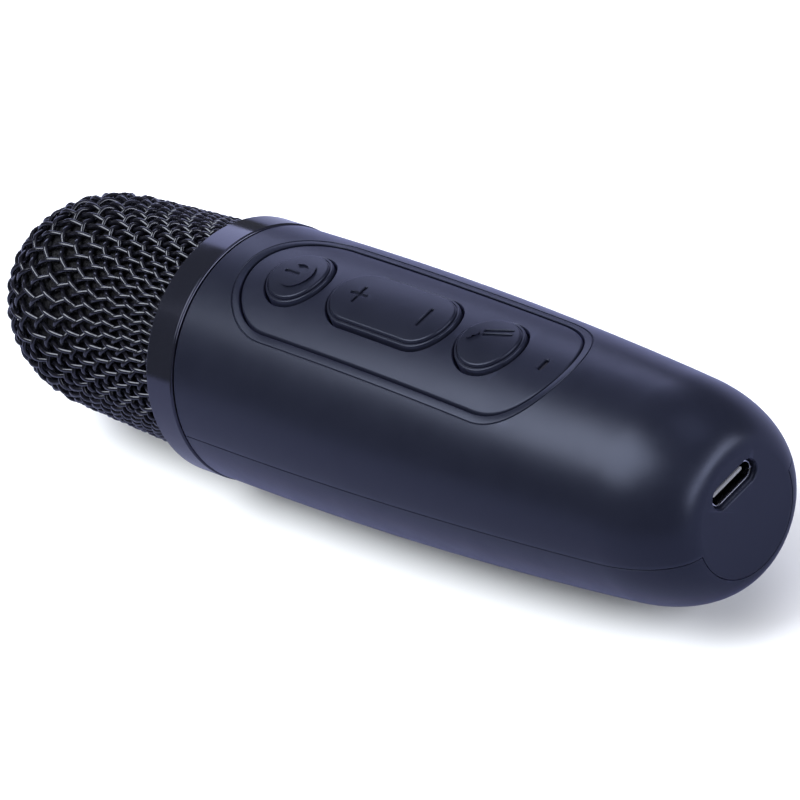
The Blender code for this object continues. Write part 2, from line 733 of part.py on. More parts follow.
def battery():
    """Round cell under the board, the foam pad it lies on, its two weld tabs and its leads."""
    rear = CELL_FRONT + CELL_LENGTH
    profile = [
        (CELL_FRONT, 0.0),
        (CELL_FRONT, CELL_RADIUS - 0.5),
        (CELL_FRONT + 0.5, CELL_RADIUS),
        (rear - 0.5, CELL_RADIUS),
        (rear, CELL_RADIUS - 0.5),
        (rear, 0.0),
    ]
    cell = revolve(profile, 36)
    bmesh.ops.translate(cell, verts=cell.verts, vec=(0.0, 0.0, CELL_AXIS))
    add_object("battery_cell", cell, "cell_sleeve")
    underside = CELL_AXIS - CELL_RADIUS - GAP
    add_object("battery_pad", block((24.0, -4.5, underside - 1.3), (60.0, 4.5, underside)), "foam")
    for label, face in (("negative", CELL_FRONT - GAP - 0.4), ("positive", rear + GAP)):
        tab = block((face, -3.0, CELL_AXIS - 3.5), (face + 0.4, 3.0, CELL_AXIS + 4.5))
        add_object("battery_tab_" + label, tab, "nickel")
    end = BOARD_TOP - BOARD_THICKNESS - GAP - 0.6
    lead = wire([(rear + 1.6, 2.0, -2.5), (80.6, 3.0, 3.0), (78.0, 4.5, 6.0), (71.0, 5.0, end)], 0.6)
    add_object("battery_lead_positive", lead, "wire_red")
    lead = wire([(10.4, -2.0, -2.5), (7.8, -3.0, 3.0), (9.8, -4.5, 6.0), (17.0, -5.0, end)], 0.6)
    add_object("battery_lead_negative", lead, "wire_black")


def collar_ring():
    """Gloss ring in front of the body, with a thin inner flange that sits on the neck."""
    front = -COLLAR_LENGTH
    bore = GRILLE_BASE_RADIUS + GAP
    profile = [
        (front, bore),
        (front, COLLAR_RADIUS - COLLAR_CHAMFER),
        (front + COLLAR_CHAMFER, COLLAR_RADIUS),
        (-GAP - COLLAR_CHAMFER, COLLAR_RADIUS),
        (-GAP, COLLAR_RADIUS - COLLAR_CHAMFER),
        (-GAP, NECK_RADIUS + GAP),
        (-GAP - 1.3, NECK_RADIUS + GAP),
        (-GAP - 1.3, bore),
    ]
    add_object("collar_ring", revolve(profile), "gloss_ring")


def head_frame():
    """Neck inside collar and grille: its flange is held behind the shells' lip, its front plate holds the capsule."""
    profile = [
        (NECK_FRONT, GROMMET_RADIUS),
        (NECK_FRONT, NECK_RADIUS),
        (LIP_LENGTH + GAP, NECK_RADIUS),
        (LIP_LENGTH + GAP, BODY_RADIUS - WALL - GAP),
        (LIP_LENGTH + GAP + 1.8, BODY_RADIUS - WALL - GAP),
        (LIP_LENGTH + GAP + 1.8, NECK_RADIUS),
        (NECK_REAR, NECK_RADIUS),
        (NECK_REAR, NECK_BORE_RADIUS),
        (NECK_FRONT + 1.6, NECK_BORE_RADIUS),
        (NECK_FRONT + 1.6, GROMMET_RADIUS),
    ]
    add_object("head_frame", revolve(profile, 48), "frame_plastic")


def capsule():
    """Capsule can in a rubber grommet in the neck's front plate, with its two leads."""
    front = NECK_FRONT - 4.5
    grommet = [
        (NECK_FRONT - 3.0, CAPSULE_RADIUS + GAP),
        (NECK_FRONT - 3.0, GROMMET_RADIUS + 1.0),
        (NECK_FRONT - GAP, GROMMET_RADIUS + 1.0),
        (NECK_FRONT - GAP, GROMMET_RADIUS - GAP),
        (NECK_FRONT + 1.6, GROMMET_RADIUS - GAP),
        (NECK_FRONT + 1.6, CAPSULE_RADIUS + GAP),
    ]
    add_object("capsule_grommet", revolve(grommet, 30), "soft_rubber")
    can = [
        (front, 0.0),
        (front, CAPSULE_RADIUS - 0.3),
        (front + 0.3, CAPSULE_RADIUS),
        (front + CAPSULE_LENGTH, CAPSULE_RADIUS),
        (front + CAPSULE_LENGTH, 0.0),
    ]
    add_object("mic_capsule", revolve(can, 30), "capsule_can")
    start = front + CAPSULE_LENGTH + GAP
    for label, side, slot in (("signal", 1, "wire_white"), ("ground", -1, "wire_black")):
        path = [
            (start, side * 1.3, 0.0),
            (0.0, side * 2.0, 2.5),
            (5.0, side * 2.6, 9.0),
            (10.5, side * 3.0, BOARD_TOP + GAP + 0.5),
        ]
        add_object("capsule_lead_" + label, wire(path, 0.45), slot)


def dome_profile(inset, base):
    """Stations and radii of the grille's wall at a depth below its skin: half an ellipsoid, then the tapered wall."""
    points = [(-GRILLE_LENGTH + inset, 0.0)]
    steps = 9
    for i in range(1, steps):
        angle = math.pi / 2 * i / steps
        station = DOME_START - (DOME_LENGTH - inset) * math.cos(angle)
        points.append((station, (GRILLE_SHOULDER_RADIUS - inset) * math.sin(angle)))
    points += [(s, grille_wall_radius(s) - inset) for s in (DOME_START, (DOME_START + base) / 2, base)]
    return points


def grille():
    """The grille head: domed mesh (as a plain thin wall), the foam inside it and the ring it is crimped to."""
    base = -COLLAR_LENGTH + COLLAR_OVERLAP
    outer = dome_profile(0.0, base)
    inner = dome_profile(MESH_THICKNESS, base)
    add_object("grille_mesh", revolve(outer + inner[::-1], 48), "grille_wire")
    foam_base = NECK_FRONT - 1.6
    skin = MESH_THICKNESS + GAP
    outer = dome_profile(skin, foam_base)
    inner = dome_profile(skin + FOAM_THICKNESS, foam_base)
    add_object("foam_windscreen", revolve(outer + inner[::-1], 36), "foam")
    bore = NECK_RADIUS + GAP
    flange_front = base + GAP
    flange_rear = -GAP - 1.3 - GAP
    sleeve = GRILLE_BASE_RADIUS - MESH_THICKNESS - GAP - 0.1
    ring = [
        (NECK_FRONT - 1.0, bore),
        (NECK_FRONT - 1.0, sleeve),
        (flange_front, sleeve),
        (flange_front, GRILLE_BASE_RADIUS),
        (flange_rear, GRILLE_BASE_RADIUS),
        (flange_rear, bore),
    ]
    add_object("grille_base_ring", revolve(ring, 48), "ring_metal")


def main():
    clear_scene()
    front_shell()
    back_shell()
    control_panel()
    round_key("power_button", POWER_STATION, power_mark())
    volume_rocker()
    round_key("mode_button", MODE_STATION, mode_mark())
    led()
    main_board()
    push_switch("power", POWER_STATION)
    push_switch("volume_up", ROCKER_STATION - VOLUME_SWITCH_OFFSET)
    push_switch("volume_down", ROCKER_STATION + VOLUME_SWITCH_OFFSET)
    push_switch("mode", MODE_STATION)
    screws()
    charging_port()
    radio()
    battery()
    collar_ring()
    head_frame()
    capsule()
    grille()


main()
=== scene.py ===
"""Looks of a cordless karaoke microphone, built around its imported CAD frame.

New pieces are drawn in millimetres in the axis frame: x is the station along the microphone's axis, counted
from the seam between collar and body (grille negative, tail positive), and y = z = 0 is the axis.
"""

import math

import bmesh
import bpy
import numpy as np
from mathutils import Matrix, Vector, noise


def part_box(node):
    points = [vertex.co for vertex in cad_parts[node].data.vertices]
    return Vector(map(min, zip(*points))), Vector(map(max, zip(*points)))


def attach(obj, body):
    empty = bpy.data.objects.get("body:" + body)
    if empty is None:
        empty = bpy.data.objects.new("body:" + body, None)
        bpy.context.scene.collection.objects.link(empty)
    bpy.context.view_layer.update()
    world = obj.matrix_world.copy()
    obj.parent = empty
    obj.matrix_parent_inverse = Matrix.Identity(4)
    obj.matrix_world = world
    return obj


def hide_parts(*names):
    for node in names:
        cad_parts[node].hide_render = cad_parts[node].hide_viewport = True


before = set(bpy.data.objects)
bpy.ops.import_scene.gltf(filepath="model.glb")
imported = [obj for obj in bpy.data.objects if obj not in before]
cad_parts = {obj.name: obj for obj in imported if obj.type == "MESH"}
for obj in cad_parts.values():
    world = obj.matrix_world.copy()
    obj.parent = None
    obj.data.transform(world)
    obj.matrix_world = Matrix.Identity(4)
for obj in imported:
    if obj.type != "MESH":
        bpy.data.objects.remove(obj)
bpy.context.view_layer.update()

MM = 0.001
SEAM_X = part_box("front_shell")[0].x
AXIS_Z = sum(corner.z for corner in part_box("grille_mesh")) / 2
ORIGIN = Vector((SEAM_X, 0.0, AXIS_Z))

# Body of revolution
BODY_LENGTH = 101.0
BODY_RADIUS = 20.6
TAPER_START = 10.0
TAPER_LENGTH = 74.0
TAPER_DROP = 3.25
SHOULDER_START = 87.0
END_DISC_RADIUS = 9.8
END_FLAT_RADIUS = 9.2
WALL = 2.4
END_WALL = 2.6
GAP = 0.3
SEAM_WIDTH = 0.12
SEAM_CHAMFER = 0.07
NECK_BORE = 17.0
NECK_LIP = 1.5
BODY_TURNS = 160

# Collar and grille
COLLAR_RADIUS = 20.8
COLLAR_LENGTH = 6.4
COLLAR_BORE = 19.4
COLLAR_ROUNDING = 0.45
COLLAR_FLANGE_FRONT = -1.6
COLLAR_FLANGE_BORE = 16.9
COLLAR_TURNS = 200
GRILLE_LENGTH = 57.0
GRILLE_BASE_RADIUS = 19.1
GRILLE_SHOULDER_RADIUS = 18.0
DOME_LENGTH = 20.8
DOME_START = DOME_LENGTH - GRILLE_LENGTH
GRILLE_SLOPE = (GRILLE_BASE_RADIUS - GRILLE_SHOULDER_RADIUS) / (-COLLAR_LENGTH - DOME_START)
WIRE_RADIUS = 0.40
WIRE_PITCH = 2.6
WIRE_SIDES = 10
CRIMP_STEPS = 6
WEAVE_DEPTH = 2 * WIRE_RADIUS
DRAWN = 0.20
WEAVE_END = -5.6
WEAVE_TURN = math.radians(-5)
FOAM_DEPTH = 1.6
FOAM_THICKNESS = 2.2
FOAM_END = -9.6

# Control panel, seen from above
PANEL_FRONT = 6.7
PANEL_REAR = 72.05
PANEL_CENTRE = (PANEL_FRONT + PANEL_REAR) / 2
PANEL_HALF_LENGTH = (PANEL_REAR - PANEL_FRONT) / 2
PANEL_HALF_WIDTH = 10.25
BEVEL_WIDTH = 1.2
PANEL_TOP = -0.35
PANEL_BOTTOM = -1.2
RECESS_DEPTH = -1.5

# Keys; a place is a station, half length and half width
POWER_STATION = 16.5
ROCKER_STATION = 37.1
MODE_STATION = 57.4
KEY_RADIUS = 5.5
ROCKER_HALF_LENGTH = 12.3
ROCKER_HALF_WIDTH = 5.6
KEY_PLACES = (
    (POWER_STATION, KEY_RADIUS, KEY_RADIUS),
    (ROCKER_STATION, ROCKER_HALF_LENGTH, ROCKER_HALF_WIDTH),
    (MODE_STATION, KEY_RADIUS, KEY_RADIUS),
)
KEY_CLEARANCE = 0.4
KEY_STEP = 0.55
KEY_FLANGE_TOP = 0.1
KEY_TOP = 0.5
KEY_SKIRT_BOTTOM = -3.5
KEY_CATCH = 0.9
MARK_DEPTH = 0.3
MARK_WIDTH = 0.55
STANDBY_RADIUS = 2.45
STANDBY_OPENING = math.radians(55)
DOT_RADIUS = 0.35
TRUNNION_RADIUS = 1.0
TRUNNION_DEPTH = 5.0
TRUNNION_REACH = 8.4
TRUNNION_PLAY = 0.08
HUB_HALF_LENGTH = 1.6
HUB_HALF_WIDTH = 5.0
HUB_TOP = 2.5
STEM_RADIUS = 1.5
PLUNGER_TOP = 13.6
VOLUME_SWITCH_OFFSET = 8.0
LED_STATION = 68.1
LED_SLOT = (0.45, 1.15)

# Port and fittings
PORT_HEIGHT = 5.5
PORT_SHELL = (8.94, 3.16)
PORT_SHELL_WALL = 0.3
PORT_DEPTH = 7.3
PORT_RECESS = 0.8
PORT_HOLE = (9.54, 3.76)
TONGUE_SIZE = (6.69, 0.7)
BOARD_TOP = 8.55
BOSS_RADIUS = 2.4
BOSS_ROOT = -1.8
EAR_SIDES = (6.6, 8.6)
EAR_HALF_LENGTH = 2.4
EAR_BELOW = 2.2
EAR_ABOVE = 3.0
SCREW_STATIONS = (11.0, 78.0)
SCREW_OFFSET = 9.5

# Shading
SHARP_ANGLE = math.radians(35)
SKIN_TOLERANCE = 0.03
PLAIN = (1.0, 1.0, 1.0)

# Stage: name, azimuth and elevation in degrees, size in metres, radiance and colour of each light
SOFTBOXES = (
    ("key", -38, 60, (0.72, 0.70), 10.0, (0.92, 0.96, 1.0)),
    ("rim", -131, 22, (0.70, 0.35), 2.6, (0.60, 0.64, 1.0)),
    ("top_back", 158, 60, (0.5, 0.4), 1.3, (0.72, 0.75, 1.0)),
    ("tail", 104, 20, (1.30, 0.30), 10.5, (0.88, 0.91, 1.0)),
)
LIGHT_DISTANCE = 1.0
FILL_STRENGTH = 1.6
SURROUND_STRENGTH = 0.10
FLOOR_HALF_SIZE = 6.0
FLOOR_COLOUR = (0.88, 0.88, 0.88)
# Colour that glossy rays see on the floor: a painted reflection, dimmer and blue-violet
PAINTED_REFLECTION_COLOUR = (0.27, 0.28, 0.42)
CAMERA_LENS = 210.6
CAMERA_SENSOR = 36.0
CAMERA_AZIMUTH = 57.75
CAMERA_ELEVATION = 35.15
CAMERA_DISTANCE = 0.7192
CAMERA_ROLL = math.radians(-23.68)
CAMERA_AIM = Vector((3.85, 1.82, 17.55)) * MM


# --- Shapes ---


def link(name, data):
    """A scene object with that data."""
    made = bpy.data.objects.new(name, data)
    bpy.context.scene.collection.objects.link(made)
    return made


def new_object(name, shape):
    """An object from a closed shape in the axis frame."""
    bmesh.ops.recalc_face_normals(shape, faces=shape.faces)
    mesh = bpy.data.meshes.new(name)
    shape.to_mesh(mesh)
    shape.free()
    mesh.transform(Matrix.Translation(ORIGIN) @ Matrix.Scale(MM, 4))
    return link(name, mesh)


def combine(target, shape, operation):
    """Cuts a shape out of a piece (DIFFERENCE) or joins it on (UNION), for good."""
    tool = new_object("tool", shape)
    step = target.modifiers.new("tool", "BOOLEAN")
    step.operation = operation
    step.object = tool
    step.solver = "EXACT"
    graph = bpy.context.evaluated_depsgraph_get()
    result = bpy.data.meshes.new_from_object(target.evaluated_get(graph))
    target.modifiers.clear()
    target.data = result
    bpy.data.objects.remove(tool)


def cut(target, shape):
    combine(target, shape, "DIFFERENCE")


def weld(target, shape):
    combine(target, shape, "UNION")


def gather(shapes):
    """One shape out of several that don't touch."""
    whole = bmesh.new()
    for shape in shapes:
        copy = bpy.data.meshes.new("copy")
        shape.to_mesh(copy)
        shape.free()
        whole.from_mesh(copy)
        bpy.data.meshes.remove(copy)
    return whole


def bridge(shape, ring, following):
    """Side faces between two rings of vertices; a ring of one vertex is a pole."""
    count = max(len(ring), len(following))
    for i in range(count):
        corners = [
            ring[i % len(ring)],
            ring[(i + 1) % len(ring)],
            following[(i + 1) % len(following)],
            following[i % len(following)],
        ]
        shape.faces.new(list(dict.fromkeys(corners)))


def loft(outlines):
    """A closed shape through outlines of equally many points, with flat ends."""
    shape = bmesh.new()
    rings = [[shape.verts.new(point) for point in outline] for outline in outlines]
    for ring, following in zip(rings, rings[1:]):
        bridge(shape, ring, following)
    shape.faces.new(rings[0])
    shape.faces.new(rings[-1][::-1])
    return shape


def revolve(profile, turns=BODY_TURNS):
    """A solid of revolution about the X axis. A profile that starts and ends on the axis is closed by its
    poles, and any other profile is a closed loop."""
    shape = bmesh.new()
    rings = []
    for station, radius in profile:
        count = turns if radius > 0 else 1
        angles = [2 * math.pi * (i + 0.5) / count for i in range(count)]
        points = [(station, -radius * math.sin(a), radius * math.cos(a)) for a in angles]
        rings.append([shape.verts.new(point) for point in points])
    for ring, following in zip(rings, rings[1:]):
        bridge(shape, ring, following)
    if profile[0][1] > 0:
        bridge(shape, rings[-1], rings[0])
    return shape


def rounded(profile, radius, steps=5):
    """A closed profile with every corner turned into an arc, and a support point beside each end of the arc
    so that smooth shading stays in the arc."""
    made = []
    for i, corner in enumerate(profile):
        here = Vector(corner)
        before = (Vector(profile[i - 1]) - here).normalized()
        after = (Vector(profile[(i + 1) % len(profile)]) - here).normalized()
        half = before.angle(after) / 2
        reach = radius / math.tan(half)
        centre = here + (before + after).normalized() * (radius / math.sin(half))
        start, end = here + before * reach, here + after * reach
        made.append(here + before * reach * 1.25)
        for k in range(steps + 1):
            chord = start.lerp(end, k / steps)
            made.append(centre + (chord - centre).normalized() * radius)
        made.append(here + after * reach * 1.25)
    return [tuple(point) for point in made]


def block(low, high):
    """A box between two corners."""
    outline = [(low[1], low[2]), (high[1], low[2]), (high[1], high[2]), (low[1], high[2])]
    return loft([[(x, y, z) for y, z in outline] for x in (low[0], high[0])])


def circle(centre, radius, sides):
    """Points of a circle in a plane."""
    angles = [2 * math.pi * i / sides for i in range(sides)]
    return [(centre[0] + radius * math.cos(a), centre[1] + radius * math.sin(a)) for a in angles]


def post(centre, radius, low, high, sides=32):
    """An upright cylinder at (x, y) between two heights."""
    ring = circle(centre, radius, sides)
    return loft([[(x, y, z) for x, y in ring] for z in (low, high)])


def crosswise_rod(station, height, radius, reach, sides=40):
    """A cylinder along Y, centred on the axis plane."""
    ring = circle((station, height), radius, sides)
    return loft([[(x, y, z) for x, z in ring] for y in (-reach, reach)])


def stadium(centre, half_length, half_width, arc_steps=30, straight_steps=8):
    """Plan outline of a slot with round ends, as (x, y) points. Equal half sizes give a circle."""
    straight = half_length - half_width
    outline = []
    for side in (1, -1):
        for i in range(arc_steps):
            angle = side * math.pi / 2 * (1 - 2 * (i + 0.5) / arc_steps)
            x = straight + half_width * abs(math.cos(angle))
            outline.append((centre + side * x, half_width * math.sin(angle)))
        if straight <= 0:
            continue
        for i in range(straight_steps + 1):
            x = straight * (1 - 2 * i / straight_steps)
            outline.append((centre + side * x, -side * half_width))
    return outline


def body_radius(station):
    """Outer radius of the body: straight, then tapering ever faster, then a round shoulder to the end."""
    taper = BODY_RADIUS - TAPER_DROP * (max(0.0, station - TAPER_START) / TAPER_LENGTH) ** 2
    if station <= SHOULDER_START:
        return taper
    last_taper = BODY_RADIUS - TAPER_DROP * ((BODY_LENGTH - TAPER_START) / TAPER_LENGTH) ** 2
    along = min(1.0, (station - SHOULDER_START) / (BODY_LENGTH - SHOULDER_START))
    return taper - (last_taper - END_FLAT_RADIUS) * (1 - math.sqrt(1 - along**2))


def skin_height(x, y, offset):
    """Height over the axis of the body's skin above (x, y), raised by an offset."""
    return math.sqrt((body_radius(x) + offset) ** 2 - y**2)


def skin_plate(centre, half_length, half_width, levels, pieces_across=6):
    """A plate that follows the body's skin. levels are (inset, offset) rings from its lower edge over its
    side to its upper edge; both faces are then filled by smaller rings down to a strip along the middle."""
    shares = [1 - i / pieces_across for i in range(1, pieces_across)] + [0.04]
    widths = [half_width * share for share in shares]
    insets = [half_width - width for width in widths]
    rows = [(inset, levels[0][1]) for inset in reversed(insets) if inset > levels[0][0]]
    rows += levels
    rows += [(inset, levels[-1][1]) for inset in insets if inset > levels[-1][0]]
    outlines = []
    for inset, offset in rows:
        outline = stadium(centre, half_length - inset, half_width - inset)
        outlines.append([(x, y, skin_height(x, y, offset)) for x, y in outline])
    shape = loft(outlines)
    bmesh.ops.triangulate(shape, faces=[face for face in shape.faces if len(face.verts) > 4])
    return shape


def skin_direction(point):
    """Outward direction of the body's skin at a point of the axis frame."""
    step = 0.001
    slope = (body_radius(point.x) - body_radius(point.x - step)) / step
    radius = math.hypot(point.y, point.z)
    return Vector((-slope, point.y / radius, point.z / radius)).normalized()


def shade(piece):
    """Smooth shading with sharp edges. A face that follows the body's skin takes the skin's own direction,
    and one on the flat end takes the axis."""
    mesh = piece.data
    mesh.shade_smooth()
    mesh.set_sharp_from_angle(angle=SHARP_ANGLE)
    directions = [Vector(corner.vector) for corner in mesh.corner_normals]
    points = [(vertex.co - ORIGIN) / MM for vertex in mesh.vertices]
    axis = Vector((1.0, 0.0, 0.0))
    for face in mesh.polygons:
        corners = [points[v] for v in face.vertices]
        if min(p.x for p in corners) > BODY_LENGTH - 0.01 and face.normal.x > 0.9:
            for corner in face.loop_indices:
                directions[corner] = axis
            continue
        offsets = [math.hypot(p.y, p.z) - body_radius(p.x) for p in corners]
        if max(offsets) - min(offsets) > SKIN_TOLERANCE or min(offsets) < -WALL - GAP:
            continue
        for corner, point in zip(face.loop_indices, corners):
            direction = skin_direction(point)
            if direction.dot(face.normal) < 0:
                direction.negate()
            if direction.dot(face.normal) > 0.97:
                directions[corner] = direction
    mesh.normals_split_custom_set(directions)


def install(piece, body, slot, *nodes):
    """Gives a finished piece its material, the CAD body that it rides on and the nodes that it stands for."""
    piece.data.materials.clear()
    piece.data.materials.append(FINISHES[slot])
    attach(piece, body)
    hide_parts(*nodes)


# --- Materials ---


def set_sockets(node, values):
    """Sets constants on a node's named input sockets."""
    for socket, value in values.items():
        node.inputs[socket].default_value = value


def blank_finish(name, colour, roughness, metallic=0.0):
    """A Principled material; returns it with its node tree and shader."""
    made = bpy.data.materials.new("look_" + name)
    made.use_nodes = True
    tree = made.node_tree
    shader = tree.nodes["Principled BSDF"]
    set_sockets(shader, {"Base Color": (*colour, 1.0), "Roughness": roughness, "Metallic": metallic})
    return made, tree, shader


def pattern(tree, scale, detail=3.0, roughness=0.55, stretch=PLAIN):
    """Value of a noise pattern in object space. scale is in features per metre."""
    place = tree.nodes.new("ShaderNodeTexCoord")
    mapping = tree.nodes.new("ShaderNodeMapping")
    set_sockets(mapping, {"Scale": stretch})
    texture = tree.nodes.new("ShaderNodeTexNoise")
    set_sockets(texture, {"Scale": scale, "Detail": detail, "Roughness": roughness})
    tree.links.new(place.outputs["Object"], mapping.inputs["Vector"])
    tree.links.new(mapping.outputs["Vector"], texture.inputs["Vector"])
    return texture.outputs["Fac"]


def remap(tree, value, low, high, source=(0.0, 1.0)):
    """The value, taken from the source range to low .. high."""
    node = tree.nodes.new("ShaderNodeMapRange")
    set_sockets(node, {"From Min": source[0], "From Max": source[1], "To Min": low, "To Max": high})
    tree.links.new(value, node.inputs["Value"])
    return node.outputs["Result"]


def mix_colour(tree, share, first, second):
    """A colour between two, by a share from nodes; the first may come from nodes too."""
    node = tree.nodes.new("ShaderNodeMix")
    node.data_type = "RGBA"
    set_sockets(node, {"B": (*second, 1.0)})
    if isinstance(first, bpy.types.NodeSocket):
        tree.links.new(first, node.inputs["A"])
    else:
        set_sockets(node, {"A": (*first, 1.0)})
    tree.links.new(share, node.inputs["Factor"])
    return node.outputs["Result"]


def rubbed_edges(tree):
    """0 on flat ground to 1 on sharp outer edges."""
    geometry = tree.nodes.new("ShaderNodeNewGeometry")
    return remap(tree, geometry.outputs["Pointiness"], 0.0, 1.0, (0.52, 0.62))


def bump(tree, shader, heights):
    """Chains bumps from (value, strength, height in metres) onto the shader's normal."""
    previous = None
    for value, strength, height in heights:
        node = tree.nodes.new("ShaderNodeBump")
        set_sockets(node, {"Strength": strength, "Distance": height})
        tree.links.new(value, node.inputs["Height"])
        if previous:
            tree.links.new(previous, node.inputs["Normal"])
        previous = node.outputs["Normal"]
    tree.links.new(previous, shader.inputs["Normal"])


def worn_finish(name, colour, roughness, spread, grain, relief, metallic=0.0, worn=1.5, stretch=PLAIN):
    """A procedural finish: colour mottled a little and lighter on rubbed edges, roughness varying by spread
    about its mean, and a fine grain in features per metre with a relief in metres."""
    made, tree, shader = blank_finish(name, colour, roughness, metallic)
    cloudy = pattern(tree, 180.0, 4.0)
    fine = pattern(tree, grain, 2.0, stretch=stretch)
    soiled = [part * 0.88 for part in colour]
    rubbed = [min(1.0, part * worn) for part in colour]
    base = mix_colour(tree, rubbed_edges(tree), mix_colour(tree, cloudy, soiled, colour), rubbed)
    tree.links.new(base, shader.inputs["Base Color"])
    uneven = remap(tree, cloudy, roughness - spread, roughness + spread, (0.3, 0.7))
    tree.links.new(uneven, shader.inputs["Roughness"])
    bump(tree, shader, [(fine, 0.6, relief)])
    return made, shader


def satin_plastic(name, colour, roughness):
    """Moulded black plastic with a soft blue-violet sheen at grazing angles and a very fine spark texture."""
    made, shader = worn_finish(name, colour, roughness, 0.03, 9000.0, 8e-6)
    set_sockets(shader, {"IOR": 1.45, "Specular IOR Level": 0.30, "Specular Tint": (0.68, 0.74, 1.0, 1.0)})
    set_sockets(shader, {"Sheen Weight": 0.08, "Sheen Roughness": 0.30, "Sheen Tint": (0.36, 0.38, 1.0, 1.0)})
    return made


def gloss_plastic(name, colour, roughness):
    """Polished plastic with a blue-violet cast."""
    made, shader = worn_finish(name, colour, roughness, 0.02, 2500.0, 1e-6)
    set_sockets(shader, {"Specular Tint": (0.68, 0.70, 1.0, 1.0)})
    return made


def lacquered_wire(name):
    """Steel wire under black lacquer, a little uneven from wire to wire."""
    made, shader = worn_finish(name, (0.005, 0.005, 0.008), 0.15, 0.03, 2200.0, 4e-6, worn=2.0)
    set_sockets(shader, {"Specular Tint": (0.88, 0.90, 1.0, 1.0)})
    return made


def bare_metal(name, colour, roughness, stretch=PLAIN):
    """Metal with fine drawing marks."""
    return worn_finish(name, colour, roughness, 0.06, 3000.0, 2e-6, 1.0, 1.2, stretch)[0]


def moulded(name, colour, roughness):
    """Plain moulded plastic of the inner parts."""
    return worn_finish(name, colour, roughness, 0.07, 4000.0, 8e-6)[0]


def open_foam(name):
    """Open-cell foam of about 0.4 mm cells, with painted shade: the colour is darker in the pits than on the
    walls between them.
    """
    made, tree, shader = blank_finish(name, (0.004, 0.004, 0.005), 0.95)
    set_sockets(shader, {"Specular IOR Level": 0.15})
    cells = tree.nodes.new("ShaderNodeTexVoronoi")
    set_sockets(cells, {"Scale": 2600.0})
    place = tree.nodes.new("ShaderNodeTexCoord")
    tree.links.new(place.outputs["Object"], cells.inputs["Vector"])
    distance = cells.outputs["Distance"]
    walls = remap(tree, distance, 0.0, 1.0, (0.25, 0.6))
    # painted shade: the pits are coloured darker than the walls between them
    colour = mix_colour(tree, walls, (0.0012, 0.0012, 0.0016), (0.0060, 0.0060, 0.0080))
    tree.links.new(colour, shader.inputs["Base Color"])
    tree.links.new(remap(tree, walls, 0.95, 0.6), shader.inputs["Roughness"])
    bump(tree, shader, [(pattern(tree, 900.0), 0.8, 2e-4), (distance, 1.0, 1.5e-4)])
    return made


def board_finish(name):
    """Green solder mask over faint copper tracks."""
    made, tree, shader = blank_finish(name, (0.02, 0.12, 0.05), 0.4)
    tracks = pattern(tree, 500.0, 1.0, stretch=(0.25, 1.0, 1.0))
    share = remap(tree, tracks, 0.0, 1.0, (0.48, 0.52))
    mask = mix_colour(tree, share, (0.012, 0.085, 0.035), (0.03, 0.16, 0.06))
    tree.links.new(mask, shader.inputs["Base Color"])
    tree.links.new(remap(tree, pattern(tree, 900.0), 0.32, 0.5), shader.inputs["Roughness"])
    bump(tree, shader, [(share, 0.5, 2e-5), (pattern(tree, 6000.0), 0.3, 4e-6)])
    return made


def port_steel(name):
    """Drawn steel, bright at the mouth, with painted shade inside: the colour is near black from a quarter
    millimetre into the port.
    """
    made, tree, shader = blank_finish(name, (0.66, 0.66, 0.68), 0.22, 1.0)
    place = tree.nodes.new("ShaderNodeTexCoord")
    parts = tree.nodes.new("ShaderNodeSeparateXYZ")
    tree.links.new(place.outputs["Object"], parts.inputs["Vector"])
    mouth = SEAM_X + (BODY_LENGTH - PORT_RECESS) * MM
    # painted shade: the colour goes from bright steel at the mouth to near black further into the port
    share = remap(tree, parts.outputs["X"], 0.0, 1.0, (mouth - 0.25 * MM, mouth - 0.12 * MM))
    steel = mix_colour(tree, share, (0.02, 0.02, 0.024), (0.70, 0.70, 0.73))
    tree.links.new(steel, shader.inputs["Base Color"])
    drawn = pattern(tree, 3000.0, stretch=(0.1, 1.0, 1.0))
    tree.links.new(remap(tree, drawn, 0.16, 0.32), shader.inputs["Roughness"])
    bump(tree, shader, [(drawn, 0.4, 2e-6)])
    return made


def make_finishes():
    """One look for each material slot of the record."""
    return {
        "shell_plastic": satin_plastic("shell", (0.0070, 0.0080, 0.0150), 0.33),
        "panel_plastic": satin_plastic("panel", (0.0080, 0.0090, 0.0170), 0.35),
        "key_plastic": satin_plastic("key", (0.0062, 0.0070, 0.0130), 0.33),
        "gloss_ring": gloss_plastic("collar", (0.0080, 0.0085, 0.0130), 0.11),
        "grille_wire": lacquered_wire("grille"),
        "ring_metal": bare_metal("base_ring", (0.03, 0.03, 0.034), 0.45),
        "foam": open_foam("foam"),
        "frame_plastic": moulded("neck", (0.030, 0.030, 0.034), 0.5),
        "soft_rubber": moulded("rubber", (0.022, 0.022, 0.022), 0.8),
        "capsule_can": bare_metal("capsule", (0.70, 0.70, 0.71), 0.30, (1.0, 0.1, 0.1)),
        "smoked_lens": gloss_plastic("lens", (0.010, 0.010, 0.014), 0.12),
        "led_body": moulded("led", (0.80, 0.80, 0.73), 0.30),
        "board_laminate": board_finish("board"),
        "switch_plastic": moulded("switch", (0.045, 0.045, 0.050), 0.5),
        "plunger_plastic": moulded("plunger", (0.50, 0.49, 0.45), 0.5),
        "shield_tin": bare_metal("shield", (0.60, 0.60, 0.58), 0.35),
        "port_steel": port_steel("port"),
        "tongue_plastic": moulded("tongue", (0.105, 0.105, 0.115), 0.45),
        "cell_sleeve": gloss_plastic("cell", (0.07, 0.18, 0.42), 0.3),
        "nickel": bare_metal("nickel", (0.64, 0.61, 0.55), 0.3),
        "screw_steel": bare_metal("screws", (0.52, 0.52, 0.53), 0.3),
        "wire_red": moulded("lead_red", (0.45, 0.03, 0.03), 0.45),
        "wire_black": moulded("lead_black", (0.02, 0.02, 0.02), 0.45),
        "wire_white": moulded("lead_white", (0.65, 0.65, 0.63), 0.45),
    }


# --- Body shells ---


